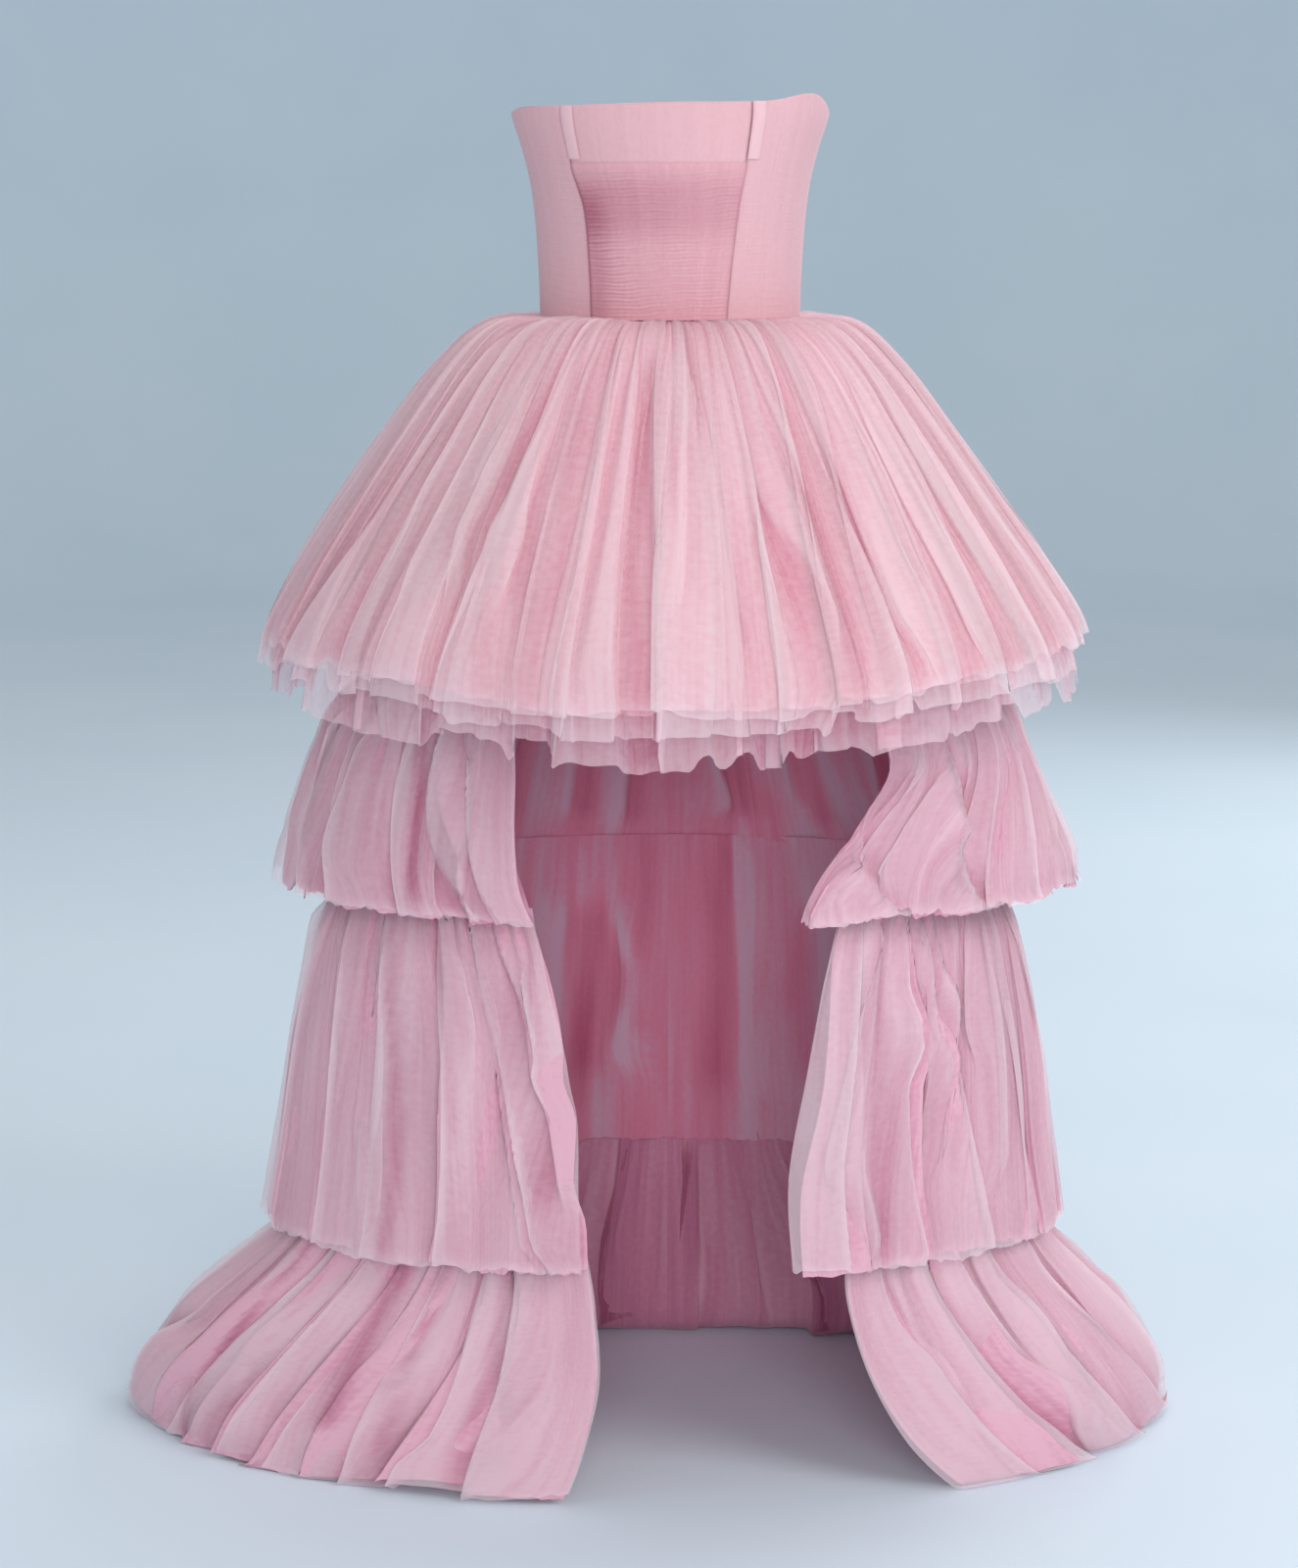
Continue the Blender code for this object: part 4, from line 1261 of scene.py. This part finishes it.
# ---------------------------------------------------------------- the bodice

WALL = 0.0015  # thickness of a lined panel
SEAM_GAP = 0.0003  # between neighbouring pieces
RUCHING_TOP = 0.143  # height over the waist where the overlay ends
BODICE_RINGS = (  # height over the waist, half width, front and back
    (0.000, 0.1220, 0.0900, 0.0860),
    (0.030, 0.1226, 0.0940, 0.0868),
    (0.065, 0.1243, 0.0990, 0.0885),
    (0.100, 0.1270, 0.1050, 0.0910),
    (0.130, 0.1314, 0.1095, 0.0935),
    (0.158, 0.1385, 0.1110, 0.0955),
    (0.187, 0.1475, 0.1098, 0.0970),
    (0.210, 0.1490, 0.1085, 0.0980),
)
TOP_EDGE = (  # degrees from the front, and height over the waist
    (-180, 0.178),
    (-135, 0.180),
    (-92, 0.187),
    (-66, 0.194),
    (-40, 0.1945),
    (0, 0.197),
    (36, 0.199),
    (62, 0.206),
    (88, 0.188),
    (135, 0.180),
    (180, 0.178),
)
PRINCESS_SEAMS = (  # height over the waist, and degrees from the front of the left and the right one
    (0.000, -36.5, 24.5),
    (0.050, -37.0, 26.3),
    (0.100, -38.2, 28.6),
    (0.145, -43.0, 30.6),
    (0.210, -42.3, 29.6),
)
ZIP_SLOT = 0.0030  # half of the gap between the back panels
BACK_HALF_WIDTH = 0.148  # of the bodice at its top
ZIP_EDGE = 180 - math.degrees(ZIP_SLOT / BACK_HALF_WIDTH)  # turn of a back panel's edge


@dataclass(frozen=True)
class Panel:
    """One sheet of the bodice, between two of its seams."""

    name: str
    node: str
    seams: tuple[str, str]
    columns: int
    rows: int
    cut: tuple[float, float]
    pleats: float  # height of its level pleats in metres
    out: float = WALL  # distance from the bodice's inner face
    foot: float = 0.0  # height over the waist of its lowest edge
    top: float = 1.0  # of its highest edge; it ends at the top edge where that is lower
    roll: float = 0.0007  # how far its edges roll in at the seams
    ruched: bool = False


PANELS = tuple(
    Panel(f"{node}_panel", node, seams, columns, rows, cut, pleats)
    for node, seams, columns, rows, cut, pleats in (
        ("bodice_centre_front", ("left", "right"), 60, 50, (0.17, 0.21), 0.0),
        ("bodice_side_front_left", ("side_left", "left"), 46, 116, (0.125, 0.205), 0.0004),
        ("bodice_side_front_right", ("right", "side_right"), 46, 116, (0.145, 0.215), 0.0004),
        ("bodice_back_left", ("back_left", "side_left"), 46, 84, (0.17, 0.20), 0.0005),
        ("bodice_back_right", ("side_right", "back_right"), 46, 84, (0.17, 0.20), 0.0005),
    )
)
OVERLAY = Panel(
    "ruched_overlay",
    "ruched_overlay_front",
    ("left", "right"),
    84,
    190,
    (0.16, 0.175),
    pleats=0.0004,
    out=WALL * 2 + SEAM_GAP,
    foot=SEAM_GAP,
    top=RUCHING_TOP,
    roll=0.0006,
    ruched=True,
)


def back_face(height: np.ndarray) -> np.ndarray:
    """Where the inner face of the back lies at the centre, in the bodice and in the yoke under it."""
    above = smooth_read(BODICE_RINGS, np.maximum(height, 0))[2]
    yoke = np.array(YOKE_RINGS)[::-1]
    return np.where(height >= 0, above, np.interp(height, yoke[:, 0], yoke[:, 4]))


class Bodice:
    """The boned bodice: five lined panels, the ruched overlay and the two boning channels."""

    PLEAT_PITCH = 0.0036  # of the ruching, read from the photo
    PANEL_HEIGHT = 0.100  # where a panel's own width is measured
    WAIST_RADIUS = 0.120
    PANEL_RADIUS = 0.118  # for lengths along a panel
    ROLL_WIDTH = 0.0022  # how far from a seam its edge rolls in
    SEAM_SHADE_WIDTH = 0.0018  # how far from it the painted seam shade reaches
    BASE_SHADE = 0.33
    PLEAT_SHADE = 0.11
    CHANNEL_CUT = (0.012, 0.055)
    CHANNEL_FOOT = RUCHING_TOP + 0.0032  # height over the waist
    CHANNEL_OUT = WALL + SEAM_GAP + 0.0004  # how far its edges lie from the bodice's inner face
    CHANNEL_CROWN = 0.0008  # how far the bone lifts the tape's middle
    SEAM_TOP = 0.190  # height near the top edge

    def point(self, turn: np.ndarray, height: np.ndarray, out: np.ndarray) -> np.ndarray:
        """Points of the bodice, moved out from its inner face.

        Args:
            turn: degrees from the front, + to the right.
            height: over the waist.
            out: distance along the ring's normal.

        Returns:
            Points, with x, y and z on the last axis.
        """
        side, front, back = smooth_read(BODICE_RINGS, height)
        angle = np.radians(turn)
        depth = np.where(np.cos(angle) > 0, front, back)
        x, y = depth * np.sin(angle), -side * np.cos(angle)
        length = np.hypot(x, y)
        x = side * np.sin(angle) + x / length * out
        return np.stack((x, -depth * np.cos(angle) + y / length * out, height), -1)

    def seam(self, name: str, height: np.ndarray) -> np.ndarray:
        """Find a seam or an edge.

        Args:
            name: the left or right princess seam, a side seam, or a back panel's edge beside the zip.
            height: heights over the waist.

        Returns:
            Its turn in degrees from the front at each height.
        """
        fixed = {"side_left": -92.0, "side_right": 88.0, "back_left": -ZIP_EDGE, "back_right": ZIP_EDGE}
        if name in fixed:
            return np.full_like(height, fixed[name])
        left, right = smooth_read(PRINCESS_SEAMS, height)
        return left if name == "left" else right

    def sheet(self, panel: Panel) -> bpy.types.Object:
        """Shape one sheet between two seams.

        Args:
            panel: what it is.

        Returns:
            The sheet.
        """
        across = np.linspace(0, 1, panel.columns)[None, :]
        start, end = (self.seam(name, np.array([self.PANEL_HEIGHT]))[0] for name in panel.seams)
        edge = smooth_read(TOP_EDGE, start + (end - start) * across)[0]
        top = np.minimum(edge, panel.top)
        height = top + (panel.foot - top) * np.linspace(0, 1, panel.rows)[:, None]
        left, right = (self.seam(name, height) for name in panel.seams)
        gap = math.degrees(SEAM_GAP / 2 / self.WAIST_RADIUS)
        turn = left + gap + (right - left - 2 * gap) * across
        width = np.radians(right - left) * self.PANEL_RADIUS
        metres = width * across
        wave, dense = self.ruching(turn, height, panel.seams)
        from_seam = np.minimum(metres, width - metres)
        lift = panel.pleats * wave * dense - panel.roll * bump(from_seam / self.ROLL_WIDTH)
        # Painted shade between the pleats and painted highlight on them.
        depth = self.BASE_SHADE - wave * dense * self.PLEAT_SHADE * (panel.pleats > 0)
        # Painted shade at both seams, where the edges roll in, and most at the left princess seam, on the
        # side away from the light.
        painted_seam_shade = 0.16 + 0.30 * (metres < width / 2) * (panel.seams[0] == "left")
        depth = depth + painted_seam_shade * bump(from_seam / self.SEAM_SHADE_WIDTH)
        out = panel.out
        if panel.ruched:
            # Painted shade: deeper in colour in a band under the bust, more on its left, and along its left
            # seam. It is sewn down flat at its top.
            painted_bust_shade = ease((RUCHING_TOP - height) / 0.030) * ease((height - 0.062) / 0.034)
            depth = depth + 0.32 * painted_bust_shade * (1 - 0.5 * metres / width)
            depth = depth + 0.30 * bump((metres - 0.008) / 0.014) * ease((0.13 - height) / 0.03)
            out = out - 0.0012 * ease((height - RUCHING_TOP + 0.006) / 0.006)
        return grid_sheet(panel.name, self.point(turn, height, out + lift), panel.cut, depth)

    def ruching(
        self, turn: np.ndarray, height: np.ndarray, seams: tuple[str, str]
    ) -> tuple[np.ndarray, np.ndarray]:
        """Level pleats pinned into the seams.

        Args:
            turn: degrees from the front.
            height: over the waist.
            seams: the sheet's seams, as each panel's pleats run their own way.

        Returns:
            The pleats' wave from -1 to 1, and how much of it shows at each place.
        """
        random = np.random.default_rng(len(seams[0]) * 7 + len(seams[1]))
        slow = [random.uniform(0, 6.28) for _ in range(6)]
        angle = np.radians(turn)
        wander = 0.0035 * np.sin(2.3 * angle + slow[0])
        wander = wander + 0.0009 * np.sin(7.3 * angle + slow[1] + height * 30)
        wander = wander + 0.0004 * np.sin(23 * angle + slow[2] + height * 140)
        phase = 2 * math.pi * (height + wander) / self.PLEAT_PITCH
        wave = np.sin(phase) + 0.45 * np.sin(phase * 0.53 + slow[3] + 5 * angle)
        wave = np.sign(wave) * np.abs(wave) ** 1.3 / 1.5
        patchy = 0.65 + 0.35 * np.sin(11 * angle + height * 55 + slow[4])
        if seams == ("left", "right"):
            dense = ease((0.141 - height) / 0.012) * (0.55 + 0.9 * bump((angle + 0.50) / 0.20))
        elif "side_left" in seams or "side_right" in seams:
            dense = ease((0.185 - height) / 0.05) * 0.6
        else:
            dense = np.full_like(angle, 0.5)
        return wave, dense * patchy

    def channel(self, side: str) -> bpy.types.Object:
        """Shape a boning channel beside a princess seam, from the ruching up to the top edge.

        Args:
            side: the seam's name.

        Returns:
            The channel's tape.
        """
        share = np.linspace(0, 1, 30)[:, None]
        across = np.linspace(0, 1, 9)[None, :]
        seam_top = self.seam(side, np.array([self.SEAM_TOP]))[0]
        top = smooth_read(TOP_EDGE, np.array([[seam_top]]))[0]
        height = top + (self.CHANNEL_FOOT - top) * share + np.zeros_like(across)
        width = math.degrees(self.CHANNEL_CUT[0] / self.PANEL_RADIUS)
        from_middle = np.broadcast_to(np.abs(across * 2 - 1), height.shape)
        out = self.CHANNEL_OUT + self.CHANNEL_CROWN * np.sqrt(1 - from_middle**2)
        points = self.point(self.seam(side, height) + width * across, height, out)
        depth = 0.10 + 0.4 * from_middle**6  # painted highlight over the bone, painted shade at the stitched edges
        return grid_sheet(f"boning_channel_{side}_tape", points, self.CHANNEL_CUT, depth)

    def build(self) -> None:
        """Make the panels, the overlay and the channels."""
        for panel in PANELS:
            sheet = self.sheet(panel)
            thicken = sheet.modifiers.new("wall", "SOLIDIFY")
            thicken.thickness = WALL
            thicken.offset = -1.0
            bpy.ops.object.modifier_apply(modifier="wall")
            finish_piece(sheet, BODICE_TULLE, (panel.node,))
        overlay = self.sheet(OVERLAY)
        finish_piece(overlay, RUCHED_TULLE, (OVERLAY.node,))
        for side in ("left", "right"):
            strip = self.channel(side)
            finish_piece(strip, CHANNEL_TAPE, (f"boning_channel_{side}",))


# ---------------------------------------------------------------- the zip


class Zip:
    """The centre-back zip: two woven tapes with a nylon coil. The slider and pull keep their solids."""

    TOP = 0.166
    FOOT = -0.150
    TAPE_REACH = 0.0100  # width of a tape
    TAPE_CUT = (0.010, 0.316)
    TAPE_SINKS = 0.0007  # how far inside the back's face a tape lies, at the coil
    TAPE_SLOPE = 0.12  # how fast it goes further in, away from the coil
    TOOTH_PITCH = 0.0018
    TOOTH = (0.0022, 0.0009, TOOTH_PITCH * 0.5)  # width, depth and height of one turn of the coil
    TOOTH_ROUND = 0.0003
    COIL_OUT = 0.0003  # how far outside the back's inner face the coil's middle lies
    COIL_FOOT = 0.007
    COIL_TOP = TOP - 0.012  # under the slider

    def build(self) -> None:
        """Make the tapes and their teeth, and give the slider and pull their metal."""
        for side, sign in (("left", -1), ("right", 1)):
            drop = np.linspace(self.TOP, self.FOOT, 90)
            across, height = np.meshgrid(np.linspace(0.0002, self.TAPE_REACH, 9), drop)
            if sign < 0:
                across = across[:, ::-1]
            depth = back_face(height) - self.TAPE_SINKS - self.TAPE_SLOPE * across
            points = np.stack((sign * across, depth, height), -1)[:, ::-1]
            tape = grid_sheet(f"zip_tape_{side}_cloth", points, self.TAPE_CUT, np.full_like(across, 0.3))
            finish_piece(tape, ZIP_TAPE, (f"zip_tape_{side}",))
            self.teeth(side, sign)
        for node in ("zip_slider", "zip_pull"):
            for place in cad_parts[node].material_slots:
                place.material = material(ZIP_METAL)

    def teeth(self, side: str, sign: int) -> None:
        """Make one side's coil: a short rounded bar for each turn of it.

        Args:
            side: left or right.
            sign: -1 or 1 for the same.
        """
        bpy.ops.object.select_all(action="DESELECT")
        bpy.ops.mesh.primitive_cube_add(size=1)
        tooth = bpy.context.active_object
        bpy.ops.object.mode_set(mode="EDIT")
        bpy.ops.transform.resize(value=self.TOOTH)
        bpy.ops.mesh.bevel(offset=self.TOOTH_ROUND, segments=1)
        bpy.ops.object.mode_set(mode="OBJECT")
        corners = np.array([v.co[:] for v in tooth.data.vertices])
        faces = [tuple(p.vertices) for p in tooth.data.polygons]
        bpy.data.objects.remove(tooth)
        heights = np.arange(self.COIL_FOOT, self.COIL_TOP, self.TOOTH_PITCH)
        heights = heights + (self.TOOTH_PITCH / 2 if sign > 0 else 0)
        beside = np.full_like(heights, sign * self.TOOTH[0] / 2)
        places = np.stack((beside, back_face(heights) + self.COIL_OUT, heights), -1)
        points = (corners + places[:, None]).reshape(-1, 3)
        turns = range(0, len(points), len(corners))
        polygons = [tuple(base + i for i in face) for base in turns for face in faces]
        mesh = bpy.data.meshes.new(f"zip_coil_{side}")
        mesh.from_pydata(points.tolist(), [], polygons)
        coil = bpy.data.objects.new(f"zip_coil_{side}", mesh)
        bpy.context.collection.objects.link(coil)
        finish_piece(coil, ZIP_COIL)


# ---------------------------------------------------------------- the studio


@dataclass(frozen=True)
class Lamp:
    """A round soft light that points at the skirt's middle."""

    name: str
    place: tuple[float, float, float]
    power: float  # watts
    tone: str

    SIZE = 2.4  # metres across
    TARGET = (0, 0, -0.45)

    def build(self) -> None:
        """Make the light."""
        lamp = bpy.data.lights.new(self.name, "AREA")
        lamp.shape = "DISK"
        lamp.size = self.SIZE
        lamp.energy = self.power
        lamp.color = linear(self.tone)[:3]
        holder = bpy.data.objects.new(self.name, lamp)
        holder.location = self.place
        away = holder.location - Vector(self.TARGET)
        holder.rotation_euler = away.to_track_quat("Z", "Y").to_euler()
        bpy.context.collection.objects.link(holder)


LAMPS = (
    Lamp("key", (3.0, -2.6, 2.2), 78, "#fffaf8"),
    Lamp("front", (0.3, -4.6, 0.8), 82, "#fdf6f6"),
    Lamp("fill", (-3.0, -1.6, 0.9), 4, "#f6e2e6"),
    Lamp("top", (0.4, 0.6, 2.8), 24, "#f8f8ff"),
    Lamp("back", (2.2, 3.4, 1.0), 36, "#faf8fb"),
)


class Studio:
    """A plain pale floor with a rim that curves up, soft light and the photo's camera."""

    LENS = 74.25  # millimetres, on a 36 mm frame
    CAMERA_PLACE = (-0.0200, -3.102, 0.1128)
    PITCH_DOWN = 10.3  # degrees
    FLOOR_RADIUS = 9.0
    RIM_HEIGHT = 3.2
    RIM_CURVE = 2.2
    SKY_POWER = 0.57

    def build(self) -> None:
        """Make the floor, the lights, the sky and the camera."""
        self.floor()
        for lamp in LAMPS:
            lamp.build()
        self.sky()
        self.camera()

    def floor(self) -> None:
        """A wide round floor whose rim curves up all round, so that no view sees its end."""
        bpy.ops.object.select_all(action="DESELECT")
        bpy.ops.mesh.primitive_circle_add(
            vertices=96, radius=self.FLOOR_RADIUS, fill_type="NGON", location=(0, 0, FLOOR)
        )
        floor = bpy.context.active_object
        floor.name = "studio_floor"
        bpy.ops.object.transform_apply(location=True)
        bpy.ops.object.mode_set(mode="EDIT")
        bpy.ops.mesh.select_mode(type="EDGE")
        bpy.ops.mesh.select_all(action="SELECT")
        bpy.ops.mesh.region_to_loop()
        bpy.ops.mesh.extrude_edges_move(TRANSFORM_OT_translate={"value": (0, 0, self.RIM_HEIGHT)})
        bpy.ops.mesh.select_all(action="DESELECT")
        bpy.ops.object.mode_set(mode="OBJECT")
        for edge in floor.data.edges:
            edge.select = all(floor.data.vertices[i].co.z < FLOOR + 0.01 for i in edge.vertices)
        bpy.ops.object.mode_set(mode="EDIT")
        bpy.ops.mesh.bevel(offset=self.RIM_CURVE, segments=16)
        bpy.ops.mesh.select_all(action="SELECT")
        bpy.ops.mesh.normals_make_consistent(inside=True)
        bpy.ops.object.mode_set(mode="OBJECT")
        bpy.ops.object.shade_smooth()
        floor.data.materials.append(material(FLOOR_PAINT))

    def sky(self) -> None:
        """A pale even sky, and the plain view of it."""
        sky = bpy.data.worlds.new("studio_sky")
        sky.use_nodes = True
        ground = sky.node_tree.nodes["Background"]
        ground.inputs["Color"].default_value = linear("#eeebef")
        ground.inputs["Strength"].default_value = self.SKY_POWER
        bpy.context.scene.world = sky
        bpy.context.scene.view_settings.view_transform = "Standard"

    def camera(self) -> None:
        """The photo's camera: a long lens over the waist, looking slightly down."""
        eye = bpy.data.cameras.new("photo_camera")
        eye.lens = self.LENS
        eye.sensor_width = 36
        holder = bpy.data.objects.new("photo_camera", eye)
        holder.location = self.CAMERA_PLACE
        holder.rotation_euler = (math.radians(90 - self.PITCH_DOWN), 0, 0)
        bpy.context.collection.objects.link(holder)
        bpy.context.scene.camera = holder


def corners(box: Sequence[Sequence[float]]) -> list[list[float]]:
    """A box's two corners as plain lists of numbers."""
    return [[float(value) for value in corner] for corner in box]


def main() -> None:
    """Build the dress from its base to its bodice, then the studio."""
    logging.basicConfig(level=logging.INFO, format="%(name)s %(message)s")
    build_base()
    build_dome()
    for tier in OPEN_TIERS:
        tier.build()
    Bodice().build()
    Zip().build()
    Studio().build()


if __name__ == "__main__":
    main()
